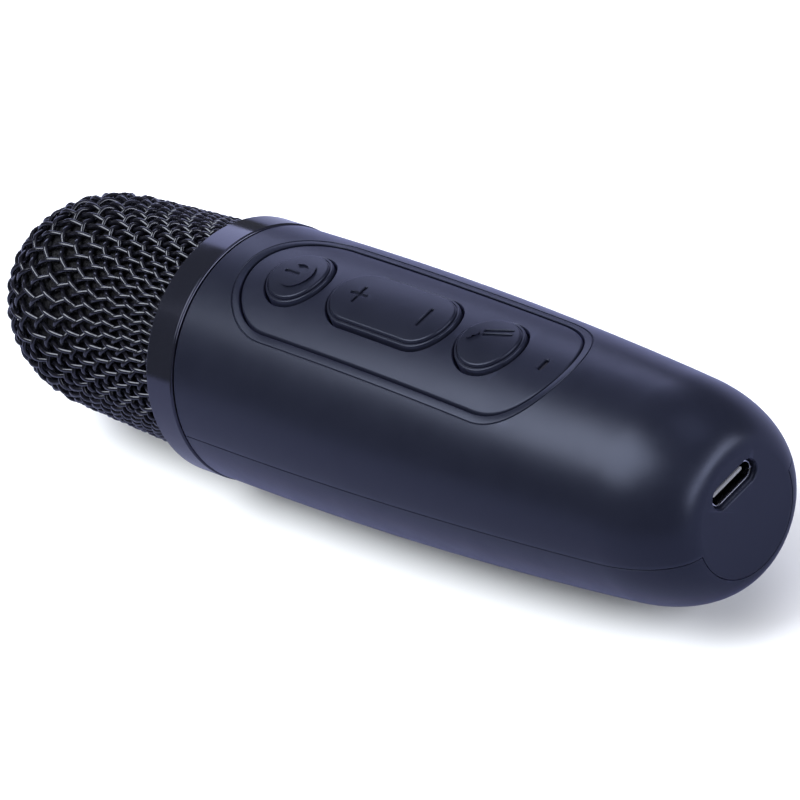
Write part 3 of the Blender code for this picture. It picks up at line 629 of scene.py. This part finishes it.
def skin_stations():
    """Stations along the skin, from the tail to the collar: close together on the shoulder."""
    shoulder_length = BODY_LENGTH - SHOULDER_START
    shoulder = [SHOULDER_START + shoulder_length * math.sin(math.radians(a)) for a in range(90, 0, -4)]
    count = 30
    return shoulder + [SHOULDER_START - (SHOULDER_START - 0.6) * i / count for i in range(count + 1)]


def body_wall():
    """The whole body as one hollow solid, before it is parted into the two shells."""
    profile = [(BODY_LENGTH, 0.0)]
    profile += [(s, body_radius(s)) for s in skin_stations()]
    edge = ((0.30, 0.0), (0.12, 0.06), (0.03, 0.18), (0.0, 0.3))
    profile += [(station, BODY_RADIUS - drop) for station, drop in edge]
    profile += [(0.0, NECK_BORE), (NECK_LIP, NECK_BORE), (NECK_LIP, BODY_RADIUS - WALL)]
    inner = [10.0 + 11.0 * i for i in range(8)] + [91.0, 94.5, 96.5]
    profile += [(s, body_radius(s) - WALL) for s in inner]
    inner_end = BODY_LENGTH - END_WALL
    profile += [(inner_end, body_radius(inner_end) - WALL - 1.0), (inner_end, 0.0)]
    return revolve(profile)


def parting(side):
    """What one shell leaves to the other: everything beyond the seam's plane, with a chamfer along the skin.
    side is 1 for the front shell and -1 for the back shell."""
    seam = side * SEAM_WIDTH / 2
    edge = side * (SEAM_WIDTH / 2 + SEAM_CHAMFER)
    outlines = []
    for station in [BODY_LENGTH + 5.0, *skin_stations(), -5.0]:
        radius = body_radius(station)
        inner = radius - SEAM_CHAMFER
        outer = radius + 3.0
        far = edge + side * 3.0
        half = [(0.0, seam), (inner, seam), (radius, edge), (outer, far), (outer, -side * 30.0)]
        section = half + [(-y, z) for y, z in reversed(half[1:])]
        outlines.append([(station, y, z) for y, z in section])
    return loft(outlines)


def end_plug(radius, rim):
    """A plug over the flat end, thick enough to take in the end wall, its edge stepped by rim at the skin."""
    skin = BODY_LENGTH - 0.06
    low = 90.0
    high = BODY_LENGTH + 6.0
    profile = [(low, 0.0), (low, radius), (skin - abs(rim), radius)]
    profile += [(skin, radius + rim), (high, radius + rim), (high, 0.0)]
    return revolve(profile, 120)


def panel_bed():
    """The control panel's bed: a rounded rim in the skin, a bevel inwards and a straight side down."""
    half_length = PANEL_HALF_LENGTH + GAP + BEVEL_WIDTH
    half_width = PANEL_HALF_WIDTH + GAP + BEVEL_WIDTH
    levels = [
        (BEVEL_WIDTH, RECESS_DEPTH),
        (BEVEL_WIDTH, PANEL_TOP + 0.06),
        (BEVEL_WIDTH - 0.06, PANEL_TOP + 0.14),
        (BEVEL_WIDTH - 0.16, PANEL_TOP + 0.19),
        (0.16, -0.07),
        (0.07, -0.20),
        (-0.02, -0.20),
        (-0.08, -0.06),
        (-0.16, 0.012),
        (-0.6, 1.5),
    ]
    return skin_plate(PANEL_CENTRE, half_length, half_width, levels)


def key_holes(rim_offset):
    """The three key holes, with a small chamfer where they meet a surface at that offset from the skin."""
    flare = ((0.12, rim_offset), (0.5, rim_offset + 0.38), (0.5, rim_offset + 3.0))
    shapes = []
    for station, half_length, half_width in KEY_PLACES:
        outlines = []
        for grow, offset in ((0.0, -10.0), (0.0, rim_offset - 0.12), *flare):
            outline = stadium(station, half_length + KEY_CLEARANCE + grow, half_width + KEY_CLEARANCE + grow)
            outlines.append([(x, y, skin_height(x, y, offset)) for x, y in outline])
        shapes.append(loft(outlines))
    return shapes


def lamp_slot():
    """The status lamp's slot, across the panel, with a flared mouth."""
    outlines = []
    for grow, offset in ((0.0, -9.0), (0.0, PANEL_TOP - 0.15), (0.15, PANEL_TOP), (0.5, PANEL_TOP + 0.35)):
        outline = stadium(0.0, LED_SLOT[1] + grow, LED_SLOT[0] + grow, arc_steps=12, straight_steps=1)
        turned = [(LED_STATION - y, x) for x, y in outline]
        outlines.append([(x, y, skin_height(x, y, offset)) for x, y in turned])
    return loft(outlines)


def port_outline(width, height):
    """Outline in (y, z) of a slot with round ends around the charging port's centre."""
    outline = stadium(0.0, width / 2, height / 2, arc_steps=24, straight_steps=1)
    return [(x, PORT_HEIGHT + y) for x, y in outline]


def port_loft(size, levels):
    """A shape along X through outlines of a (width, height) at (station, growth) levels."""
    width, height = size
    return loft([[(s, y, z) for y, z in port_outline(width + 2 * g, height + 2 * g)] for s, g in levels])


def port_mouth():
    """The port's hole, with a rounded lip in the flat end."""
    levels = ((-6, 0.0), (-0.3, 0.0), (-0.14, 0.04), (-0.04, 0.14), (0.1, 0.35))
    return port_loft(PORT_HOLE, [(BODY_LENGTH + offset, growth) for offset, growth in levels])


def trunnion_height():
    return body_radius(ROCKER_STATION) - TRUNNION_DEPTH


def shell_fittings():
    """Screw bosses and the rocker's two ears, inside the front shell."""
    places = [(station, side * SCREW_OFFSET) for station in SCREW_STATIONS for side in (1, -1)]
    foot = BOARD_TOP + GAP
    fittings = [post(place, BOSS_RADIUS, foot, skin_height(*place, BOSS_ROOT)) for place in places]
    height = trunnion_height()
    for side in (1, -1):
        near, far = sorted(side * distance for distance in EAR_SIDES)
        low = (ROCKER_STATION - EAR_HALF_LENGTH, near, height - EAR_BELOW)
        fittings.append(block(low, (ROCKER_STATION + EAR_HALF_LENGTH, far, height + EAR_ABOVE)))
    return gather(fittings)


def body_front():
    """Front shell: upper half of the body with the whole end disc, the panel's bed and the port's mouth."""
    piece = new_object("body_front", body_wall())
    lower_half = new_object("lower_half", parting(1))
    cut(lower_half, end_plug(END_DISC_RADIUS, -SEAM_CHAMFER))
    leaving = bmesh.new()
    leaving.from_mesh(lower_half.data)
    to_axis_frame = Matrix.Scale(1 / MM, 4) @ Matrix.Translation(-ORIGIN)
    bmesh.ops.transform(leaving, verts=leaving.verts, matrix=to_axis_frame)
    bpy.data.objects.remove(lower_half)
    cut(piece, leaving)
    weld(piece, shell_fittings())
    cut(piece, panel_bed())
    cut(piece, gather([*key_holes(RECESS_DEPTH), lamp_slot(), port_mouth()]))
    bearing = TRUNNION_RADIUS + TRUNNION_PLAY
    cut(piece, crosswise_rod(ROCKER_STATION, trunnion_height(), bearing, TRUNNION_REACH + 0.5))
    shade(piece)
    install(piece, "handle", "shell_plastic", "front_shell")


def body_back():
    """Back shell: lower half of the body, notched round the end disc."""
    piece = new_object("body_back", body_wall())
    cut(piece, parting(-1))
    cut(piece, end_plug(END_DISC_RADIUS + SEAM_WIDTH, SEAM_CHAMFER))
    shade(piece)
    install(piece, "handle", "shell_plastic", "back_shell")


def panel_plate():
    """Inlaid plate around the keys, with rounded edges."""
    edge = ((0.0, 0.28), (0.05, 0.13), (0.14, 0.04), (0.28, 0.0))
    levels = [(0.0, PANEL_BOTTOM)] + [(inset, PANEL_TOP - drop) for inset, drop in edge]
    plate = skin_plate(PANEL_CENTRE, PANEL_HALF_LENGTH, PANEL_HALF_WIDTH, levels, 10)
    piece = new_object("panel_plate", plate)
    cut(piece, gather([*key_holes(PANEL_TOP), lamp_slot()]))
    shade(piece)
    install(piece, "handle", "panel_plastic", "control_panel")


# --- Keys ---


def key_levels():
    """Rings of a key from its underside over its narrow flange and a fine groove to its rounded plateau."""
    flange = KEY_FLANGE_TOP
    return [
        (0.0, KEY_SKIRT_BOTTOM),
        (0.0, flange - 0.2),
        (0.04, flange - 0.09),
        (0.1, flange - 0.03),
        (0.2, flange),
        (KEY_STEP - 0.2, flange),
        (KEY_STEP - 0.13, flange - 0.05),
        (KEY_STEP - 0.1, flange - 0.14),
        (KEY_STEP, flange - 0.14),
        (KEY_STEP + 0.02, KEY_TOP - 0.24),
        (KEY_STEP + 0.07, KEY_TOP - 0.12),
        (KEY_STEP + 0.16, KEY_TOP - 0.04),
        (KEY_STEP + 0.3, KEY_TOP),
    ]


def engraving(outline_at):
    """A mark's cutter: straight sides down to the floor of the mark and a slightly flared rim. outline_at
    gives the plan outline at a growth."""
    outlines = []
    for grow, rise in ((0.0, -MARK_DEPTH), (0.0, -0.1), (0.1, 0.0), (0.3, 0.3)):
        outlines.append([(x, y, skin_height(x, y, KEY_TOP + rise)) for x, y in outline_at(grow)])
    return loft(outlines)


def stroke(station, start, end):
    """A straight engraved stroke with round ends, between two plan points counted from a key's centre."""
    a = Vector((station + start[0], start[1]))
    b = Vector((station + end[0], end[1]))
    heading = math.atan2(b.y - a.y, b.x - a.x)

    def outline_at(grow):
        made = []
        for centre, turn in ((b, heading), (a, heading + math.pi)):
            for k in range(9):
                angle = turn + math.pi * (k / 8 - 0.5)
                reach = MARK_WIDTH / 2 + grow
                made.append((centre.x + reach * math.cos(angle), centre.y + reach * math.sin(angle)))
        return made

    return engraving(outline_at)


def standby_ring():
    """The open ring of the usual standby sign."""
    steps = 40

    def outline_at(grow):
        half = MARK_WIDTH / 2 + grow
        opening = STANDBY_OPENING - grow / STANDBY_RADIUS
        outline = []
        for turn, reach in ((1, STANDBY_RADIUS - half), (-1, STANDBY_RADIUS + half)):
            for i in range(steps + 1):
                angle = math.pi + turn * (opening + 2 * (math.pi - opening) * i / steps)
                outline.append((POWER_STATION + reach * math.cos(angle), reach * math.sin(angle)))
        return outline

    return engraving(outline_at)


def dot(x, y):
    """A round engraved dot."""

    def outline_at(grow):
        return circle((x, y), DOT_RADIUS + grow, 16)

    return engraving(outline_at)


def power_mark():
    return [standby_ring(), stroke(POWER_STATION, (-STANDBY_RADIUS, 0.0), (0.1, 0.0))]


def mode_mark():
    """A generic sign that slants across the key: two long strokes and three dots."""
    strokes = [
        stroke(MODE_STATION, (-1.8, 1.45), (2.0, 3.25)),
        stroke(MODE_STATION, (-1.5, 0.68), (2.5, 2.3)),
    ]
    places = ((-2.8, 0.35), (-3.4, -0.5), (-3.7, 0.5))
    return strokes + [dot(MODE_STATION + x, y) for x, y in places]


def round_key(name, station, marks, body, node):
    """A push key: stepped cap with its engraved mark, catch ring under the panel and stem over its switch."""
    piece = new_object(name, skin_plate(station, KEY_RADIUS, KEY_RADIUS, key_levels()))
    reach = KEY_RADIUS + KEY_CATCH
    weld(piece, skin_plate(station, reach, reach, [(0.0, KEY_SKIRT_BOTTOM - 0.1), (0.0, -WALL - GAP)]))
    weld(piece, post((station, 0.0), STEM_RADIUS, PLUNGER_TOP + GAP, body_radius(station) - 3.0))
    cut(piece, gather(marks))
    shade(piece)
    install(piece, body, "key_plastic", node)


def volume_key():
    """The rocker: one long cap with a plus and a minus, on two stub axles."""
    station = ROCKER_STATION
    cap = skin_plate(station, ROCKER_HALF_LENGTH, ROCKER_HALF_WIDTH, key_levels())
    piece = new_object("volume_cap", cap)
    height = trunnion_height()
    low = (station - HUB_HALF_LENGTH, -HUB_HALF_WIDTH, height - HUB_HALF_LENGTH)
    under = [block(low, (station + HUB_HALF_LENGTH, HUB_HALF_WIDTH, height + HUB_TOP))]
    for side in (1, -1):
        place = (station + side * VOLUME_SWITCH_OFFSET, 0.0)
        under.append(post(place, STEM_RADIUS, PLUNGER_TOP + GAP, body_radius(station) - 2.6))
    weld(piece, gather(under))
    weld(piece, crosswise_rod(station, height, TRUNNION_RADIUS, TRUNNION_REACH))
    up = station - VOLUME_SWITCH_OFFSET + 1.1
    down = station + VOLUME_SWITCH_OFFSET - 0.9
    cut(piece, gather([stroke(up, (0.0, -1.5), (0.0, 1.5)), stroke(down, (0.0, -1.7), (0.0, 1.7))]))
    cut(piece, stroke(up, (-1.5, 0.0), (1.5, 0.0)))
    shade(piece)
    install(piece, "volume_key", "key_plastic", "volume_rocker")


# --- Collar and port ---


def collar():
    """Gloss ring in front of the body, with rounded edges, and the thin flange that sits on the neck."""
    front = -COLLAR_LENGTH
    band = [(front, COLLAR_BORE), (front, COLLAR_RADIUS), (-GAP, COLLAR_RADIUS), (-GAP, COLLAR_BORE)]
    piece = new_object("collar_gloss", revolve(rounded(band, COLLAR_ROUNDING), COLLAR_TURNS))
    radii = (COLLAR_FLANGE_BORE, COLLAR_BORE + 0.5)
    flange = [(COLLAR_FLANGE_FRONT, radius) for radius in radii]
    flange += [(-GAP - 0.1, radius) for radius in reversed(radii)]
    weld(piece, revolve(flange, COLLAR_TURNS))
    shade(piece)
    install(piece, "handle", "gloss_ring", "collar_ring")


def port_shell():
    """Drawn steel port shell with a rounded mouth, open towards the tail."""
    rear = BODY_LENGTH - PORT_RECESS
    front = rear - PORT_DEPTH
    levels = [(front, 0.0), (rear - 0.15, 0.0), (rear - 0.05, -0.05), (rear, -0.15)]
    piece = new_object("port_tube", port_loft(PORT_SHELL, levels))
    inner = -PORT_SHELL_WALL
    mouth = [(rear - 0.12, inner), (rear + 0.06, inner + 0.12), (rear + 2.0, inner + 0.12)]
    cut(piece, port_loft(PORT_SHELL, [(front + 0.5, inner), *mouth]))
    shade(piece)
    install(piece, "handle", "port_steel", "usb_shell")


def port_tongue():
    """The contact tongue on its base, with rounded edges."""
    front = BODY_LENGTH - PORT_RECESS - PORT_DEPTH + 0.5 + GAP
    rear = BODY_LENGTH - PORT_RECESS - 0.7
    base = [(front, -PORT_SHELL_WALL - GAP), (front + 1.0, -PORT_SHELL_WALL - GAP)]
    piece = new_object("port_tongue", port_loft(PORT_SHELL, base))
    half_width, half_height = (size / 2 for size in TONGUE_SIZE)
    outlines = []
    for station, shrink in ((front + 0.5, 0.0), (rear - 0.2, 0.0), (rear - 0.06, 0.06), (rear, 0.2)):
        outline = stadium(0.0, half_width - shrink, half_height - shrink, arc_steps=8, straight_steps=1)
        outlines.append([(station, y, PORT_HEIGHT + z) for y, z in outline])
    weld(piece, loft(outlines))
    shade(piece)
    install(piece, "handle", "tongue_plastic", "usb_tongue")


# --- Grille ---


def grille_radius(stations, depth):
    """Radius of the grille's wall at stations, at a depth below its skin."""
    dome = GRILLE_SHOULDER_RADIUS - depth
    along = np.clip((stations - DOME_START) / (DOME_LENGTH - depth), -1.0, 0.0)
    wall = dome + GRILLE_SLOPE * (stations - DOME_START)
    return np.where(stations > DOME_START, wall, dome * np.sqrt(1 - along**2))


def grille_directions(points, depth):
    """Outward directions of the grille's wall at points on it."""
    wall = GRILLE_SHOULDER_RADIUS - depth
    radius = np.maximum(np.hypot(points[..., 1], points[..., 2]), 1e-9)
    on_wall = points[..., 0] > DOME_START
    along = np.where(on_wall, -GRILLE_SLOPE, (points[..., 0] - DOME_START) / (DOME_LENGTH - depth) ** 2)
    across = np.where(on_wall, 1.0 / radius, 1.0 / wall**2)
    directions = np.stack([along, points[..., 1] * across, points[..., 2] * across], axis=-1)
    return directions / np.linalg.norm(directions, axis=-1, keepdims=True)


def onto_grille(points, depth):
    """Points moved onto the grille's wall: straight out of the axis on the wall, out of its middle on the
    dome."""
    wall = GRILLE_SHOULDER_RADIUS - depth
    radius = np.maximum(np.hypot(points[..., 1], points[..., 2]), 1e-9)
    along = (points[..., 0] - DOME_START) / (DOME_LENGTH - depth)
    reach = np.maximum(np.hypot(along, radius / wall), 1e-9)
    on_wall = points[..., 0] > DOME_START
    moved = points.copy()
    moved[..., 0] = np.where(on_wall, points[..., 0], DOME_START + (points[..., 0] - DOME_START) / reach)
    scale = np.where(on_wall, grille_radius(points[..., 0], depth) / radius, 1 / reach)
    moved[..., 1:] *= scale[..., None]
    return moved


def drape_quarter(count):
    """A square net draped over a quarter of the dome from its tip: the first row and column run straight down
    the wall, and each further crossing closes a rhombus of equal wires."""
    quarter = np.zeros((count + 1, count + 1, 3))
    angles = np.linspace(0, math.pi / 2, 2000)
    stations = DOME_START - (DOME_LENGTH - WEAVE_DEPTH) * np.cos(angles)
    radii = (GRILLE_SHOULDER_RADIUS - WEAVE_DEPTH) * np.sin(angles)
    arc = np.concatenate([[0], np.cumsum(np.hypot(np.diff(stations), np.diff(radii)))])
    for i in range(count + 1):
        length = i * WIRE_PITCH
        station = np.interp(length, arc, stations) + max(0.0, length - arc[-1])
        radius = np.interp(length, arc, radii) if length < arc[-1] else grille_radius(station, WEAVE_DEPTH)
        quarter[i, 0] = (station, radius, 0.0)
        quarter[0, i] = (station, 0.0, radius)
    for i in range(1, count + 1):
        for j in range(1, count + 1):
            above, beside, corner = quarter[i - 1, j], quarter[i, j - 1], quarter[i - 1, j - 1]
            point = above + beside - corner
            if np.linalg.norm(point - corner) < 0.2:
                point = corner + np.array([WIRE_PITCH, 0.0, 0.0])
            quarter[i, j] = close_rhombus(point, above, beside)
    return quarter


def close_rhombus(point, above, beside):
    """The point of the wall one pitch from both neighbours, near a first guess."""
    for _ in range(12):
        point = onto_grille(point, WEAVE_DEPTH)
        from_above = point - above
        from_beside = point - beside
        lengths = np.linalg.norm(from_above), np.linalg.norm(from_beside)
        outward = grille_directions(point, WEAVE_DEPTH)
        rows = np.array([from_above / lengths[0], from_beside / lengths[1], outward])
        missing = np.array([WIRE_PITCH - lengths[0], WIRE_PITCH - lengths[1], 0.0])
        step = np.linalg.lstsq(rows + 1e-6 * np.eye(3), missing, rcond=0.15)[0]
        point = point + step * min(1.0, 0.5 * WIRE_PITCH / max(np.linalg.norm(step), 1e-9))
    return onto_grille(point, WEAVE_DEPTH)


def pull(net, moves, counts, first, second, shortest, longest, drawn=0.0):
    """Adds the moves that bring the distance between neighbours back into its range. The range is longer by
    the share drawn for wires along the axis, and shorter for wires round it."""
    between = net[second] - net[first]
    length = np.maximum(np.linalg.norm(between, axis=-1), 1e-9)
    stretch = 1 + drawn * (2 * (between[..., 0] / length) ** 2 - 1)
    excess = np.minimum(length - shortest * stretch, 0) + np.maximum(length - longest * stretch, 0)
    share = (0.5 * excess / length)[..., None]
    moves[first] += between * share
    moves[second] -= between * share
    counts[first] += excess != 0
    counts[second] += excess != 0


def relax(net, rounds=600):
    """Lets the net settle: wires stay near their pitch, cells don't collapse, and wires bend smoothly."""
    early, late, every = slice(0, -1), slice(1, None), slice(None)
    middle = (net.shape[0] - 1) // 2
    tip = net[middle, middle].copy()
    shortest, longest, thinnest = 0.95 * WIRE_PITCH, 1.08 * WIRE_PITCH, 0.48 * WIRE_PITCH
    for turn in range(rounds):
        moves = np.zeros_like(net)
        counts = np.zeros(net.shape[:2])
        pull(net, moves, counts, (early, every), (late, every), shortest, longest, DRAWN)
        pull(net, moves, counts, (every, early), (every, late), shortest, longest, DRAWN)
        pull(net, moves, counts, (early, early), (late, late), thinnest, np.inf)
        pull(net, moves, counts, (early, late), (late, early), thinnest, np.inf)
        net = net + moves / np.maximum(counts, 1)[..., None]
        smoothing = 0.25 - 0.10 * turn / rounds
        eased = net.copy()
        eased[1:-1] += smoothing * ((net[2:] + net[:-2]) / 2 - net[1:-1])
        eased[:, 1:-1] += smoothing * ((net[:, 2:] + net[:, :-2]) / 2 - net[:, 1:-1])
        net = onto_grille(eased, WEAVE_DEPTH)
        net[middle, middle] = tip
    return net


def woven_net(count=30):
    """Crossings of the woven wires over the whole dome and wall."""
    quarter = drape_quarter(count)
    net = np.zeros((2 * count + 1, 2 * count + 1, 3))
    for across in (1, -1):
        for up in (1, -1):
            rows = count + across * np.arange(count + 1)
            columns = count + up * np.arange(count + 1)
            net[np.ix_(rows, columns)] = quarter * np.array([1.0, across, up])
    net = relax(net)
    turned = net.copy()
    turned[..., 1] = net[..., 1] * math.cos(WEAVE_TURN) - net[..., 2] * math.sin(WEAVE_TURN)
    turned[..., 2] = net[..., 1] * math.sin(WEAVE_TURN) + net[..., 2] * math.cos(WEAVE_TURN)
    return turned


def crimped_path(crossings, first_over):
    """Centre line of one wire through its crossings, over and under in turn."""
    lead_in = 2 * crossings[:1] - crossings[1:2]
    lead_out = 2 * crossings[-1:] - crossings[-2:-1]
    padded = np.concatenate([lead_in, crossings, lead_out])
    before, a, b, after = padded[:-3], padded[1:-2], padded[2:-1], padded[3:]
    steps = np.arange(CRIMP_STEPS) / CRIMP_STEPS
    t = steps[None, :, None]
    curve = 2 * a[:, None] + (b - before)[:, None] * t
    curve = curve + (2 * before - 5 * a + 4 * b - after)[:, None] * t**2
    curve = 0.5 * (curve + (3 * a - before - 3 * b + after)[:, None] * t**3)
    signs = first_over * (-1.0) ** np.arange(len(a))
    wave = signs[:, None] * np.cos(math.pi * steps)[None, :]
    points = curve.reshape(-1, 3)
    outward = grille_directions(points, WEAVE_DEPTH)
    return points + outward * (WIRE_RADIUS * 1.02) * wave.reshape(-1, 1), outward


def tube(points, outward):
    """Vertices and faces of a round wire along points."""
    along = np.gradient(points, axis=0)
    along /= np.linalg.norm(along, axis=1, keepdims=True)
    side = np.cross(along, outward)
    side /= np.linalg.norm(side, axis=1, keepdims=True)
    up = np.cross(side, along)
    angles = 2 * math.pi * np.arange(WIRE_SIDES) / WIRE_SIDES
    ring = np.cos(angles)[None, :, None] * side[:, None] + np.sin(angles)[None, :, None] * up[:, None]
    vertices = (points[:, None] + WIRE_RADIUS * ring).reshape(-1, 3)
    index = np.arange(len(points) * WIRE_SIDES).reshape(len(points), WIRE_SIDES)
    here, there = index[:-1], index[1:]
    quads = np.stack([here, np.roll(here, -1, 1), np.roll(there, -1, 1), there], axis=-1).reshape(-1, 4)
    return vertices, quads.tolist() + [index[0][::-1].tolist(), index[-1].tolist()]


def wire_family(name, net, parity):
    """All wires that run one way, as one piece."""
    vertices = []
    faces = []
    total = 0
    for row, crossings in enumerate(net):
        points, outward = crimped_path(crossings, parity * (-1.0) ** row)
        shown = points[:, 0] < WEAVE_END
        for run in np.split(np.arange(len(points)), np.where(np.diff(shown.astype(int)))[0] + 1):
            if len(run) < 3 * CRIMP_STEPS or not shown[run[0]]:
                continue
            made, quads = tube(points[run], outward[run])
            vertices.append(made)
            faces += [[corner + total for corner in face] for face in quads]
            total += len(made)
    placed = np.concatenate(vertices) * MM + np.array(ORIGIN)
    mesh = bpy.data.meshes.new(name)
    mesh.from_pydata(placed.tolist(), [], faces)
    mesh.shade_smooth()
    mesh.set_sharp_from_angle(angle=math.radians(60))
    install(link(name, mesh), "grille_head", "grille_wire", "grille_mesh")


def woven_grille():
    """The woven mesh: two families of crimped wires, each passing over and under the other."""
    net = woven_net()
    wire_family("grille_wires_a", net, 1.0)
    wire_family("grille_wires_b", net.swapaxes(0, 1), -1.0)


def dome_profile(depth, rings=44):
    """Stations and radii of the grille's wall at a depth below its skin, from the tip to the foam's end."""
    length = DOME_LENGTH - depth
    radius = GRILLE_SHOULDER_RADIUS - depth
    angles = [math.pi / 2 * i / rings for i in range(rings + 1)]
    points = [(DOME_START - length * math.cos(a), radius * math.sin(a)) for a in angles]
    stations = [DOME_START + (FOAM_END - DOME_START) * i / rings for i in range(1, rings + 1)]
    return points + [(s, float(grille_radius(np.float64(s), depth))) for s in stations]


def foam_lining():
    """The foam under the mesh, with a soft uneven surface of small cells."""
    outer = dome_profile(FOAM_DEPTH)
    inner = dome_profile(FOAM_DEPTH + FOAM_THICKNESS)
    shape = revolve(outer + inner[::-1], 180)
    for vertex in shape.verts:
        lump = noise.fractal(vertex.co * 0.9, 0.8, 2.0, 3) * 0.16
        radius = vertex.co.yz.length
        if radius > 0:
            vertex.co.yz *= 1 + lump / radius
    piece = new_object("foam_lining", shape)
    piece.data.shade_smooth()
    install(piece, "grille_head", "foam", "foam_windscreen")


# --- Carried-over CAD parts, stage and camera ---


def paint_cad_nodes():
    """Gives every CAD node that still shows the look of its slot."""
    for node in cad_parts.values():
        slot = node.data.materials[0].name.split(".")[0]
        node.data.materials.clear()
        node.data.materials.append(FINISHES[slot])


def direction(azimuth, elevation):
    """Direction from the object, in degrees: azimuth 0 is towards -Y and 90 towards +X, and elevation counts
    from the floor."""
    a, e = math.radians(azimuth), math.radians(elevation)
    return Vector((math.sin(a) * math.cos(e), -math.cos(a) * math.cos(e), math.sin(e)))


def softbox(name, azimuth, elevation, size, radiance, colour):
    """A rectangular soft light that looks at the object."""
    data = bpy.data.lights.new(name, "AREA")
    data.shape = "RECTANGLE"
    data.size, data.size_y = size
    data.energy = radiance * math.pi * size[0] * size[1]
    data.color = colour
    lamp = link(name, data)
    towards = direction(azimuth, elevation)
    lamp.location = Vector((0.0, 0.0, AXIS_Z)) + towards * LIGHT_DISTANCE
    lamp.rotation_euler = towards.to_track_quat("Z", "Y").to_euler()
    lamp.visible_camera = False


def floor():
    """A plain pale floor under the object; rays mirrored off the object see it dimmer and blue-violet, a
    painted reflection on the object.
    """
    mesh = bpy.data.meshes.new("floor")
    low, high = -FLOOR_HALF_SIZE, FLOOR_HALF_SIZE
    corners = [(low, low, 0), (high, low, 0), (high, high, 0), (low, high, 0)]
    mesh.from_pydata(corners, [], [(0, 1, 2, 3)])
    made, tree, shader = blank_finish("floor", FLOOR_COLOUR, 0.9)
    set_sockets(shader, {"Specular IOR Level": 0.0})
    # painted reflection: rays mirrored off the object see the floor in a dimmer blue-violet colour
    ray = tree.nodes.new("ShaderNodeLightPath")
    colour = mix_colour(tree, ray.outputs["Is Glossy Ray"], FLOOR_COLOUR, PAINTED_REFLECTION_COLOUR)
    tree.links.new(colour, shader.inputs["Base Color"])
    mesh.materials.append(made)
    link("floor", mesh)


def lights():
    """The soft boxes, a broad fill from above that nothing mirrors, and a faint even surround."""
    for box in SOFTBOXES:
        softbox(*box)
    sun = bpy.data.lights.new("fill", "SUN")
    sun.energy = FILL_STRENGTH
    sun.angle = math.radians(90)
    link("fill", sun).visible_glossy = False
    world = bpy.data.worlds.new("surround")
    world.use_nodes = True
    background = world.node_tree.nodes["Background"]
    set_sockets(background, {"Color": (0.93, 0.95, 1.0, 1.0), "Strength": SURROUND_STRENGTH})
    bpy.context.scene.world = world


def camera():
    """A long lens above the tail's near side, rolled so that the microphone runs across the picture."""
    data = bpy.data.cameras.new("camera")
    data.lens = CAMERA_LENS
    data.sensor_width = CAMERA_SENSOR
    made = link("camera", data)
    away = direction(CAMERA_AZIMUTH, CAMERA_ELEVATION)
    made.location = CAMERA_AIM + away * CAMERA_DISTANCE
    roll = Matrix.Rotation(CAMERA_ROLL, 3, away)
    made.rotation_euler = (roll @ away.to_track_quat("Z", "Y").to_matrix()).to_euler()
    data.clip_start, data.clip_end = 0.05, 30.0
    bpy.context.scene.camera = made


def main():
    body_front()
    body_back()
    panel_plate()
    round_key("power_cap", POWER_STATION, power_mark(), "power_key", "power_button")
    volume_key()
    round_key("mode_cap", MODE_STATION, mode_mark(), "mode_key", "mode_button")
    collar()
    port_shell()
    port_tongue()
    woven_grille()
    foam_lining()
    paint_cad_nodes()
    floor()
    lights()
    camera()
    bpy.context.scene.view_settings.view_transform = "Standard"


FINISHES = make_finishes()
main()
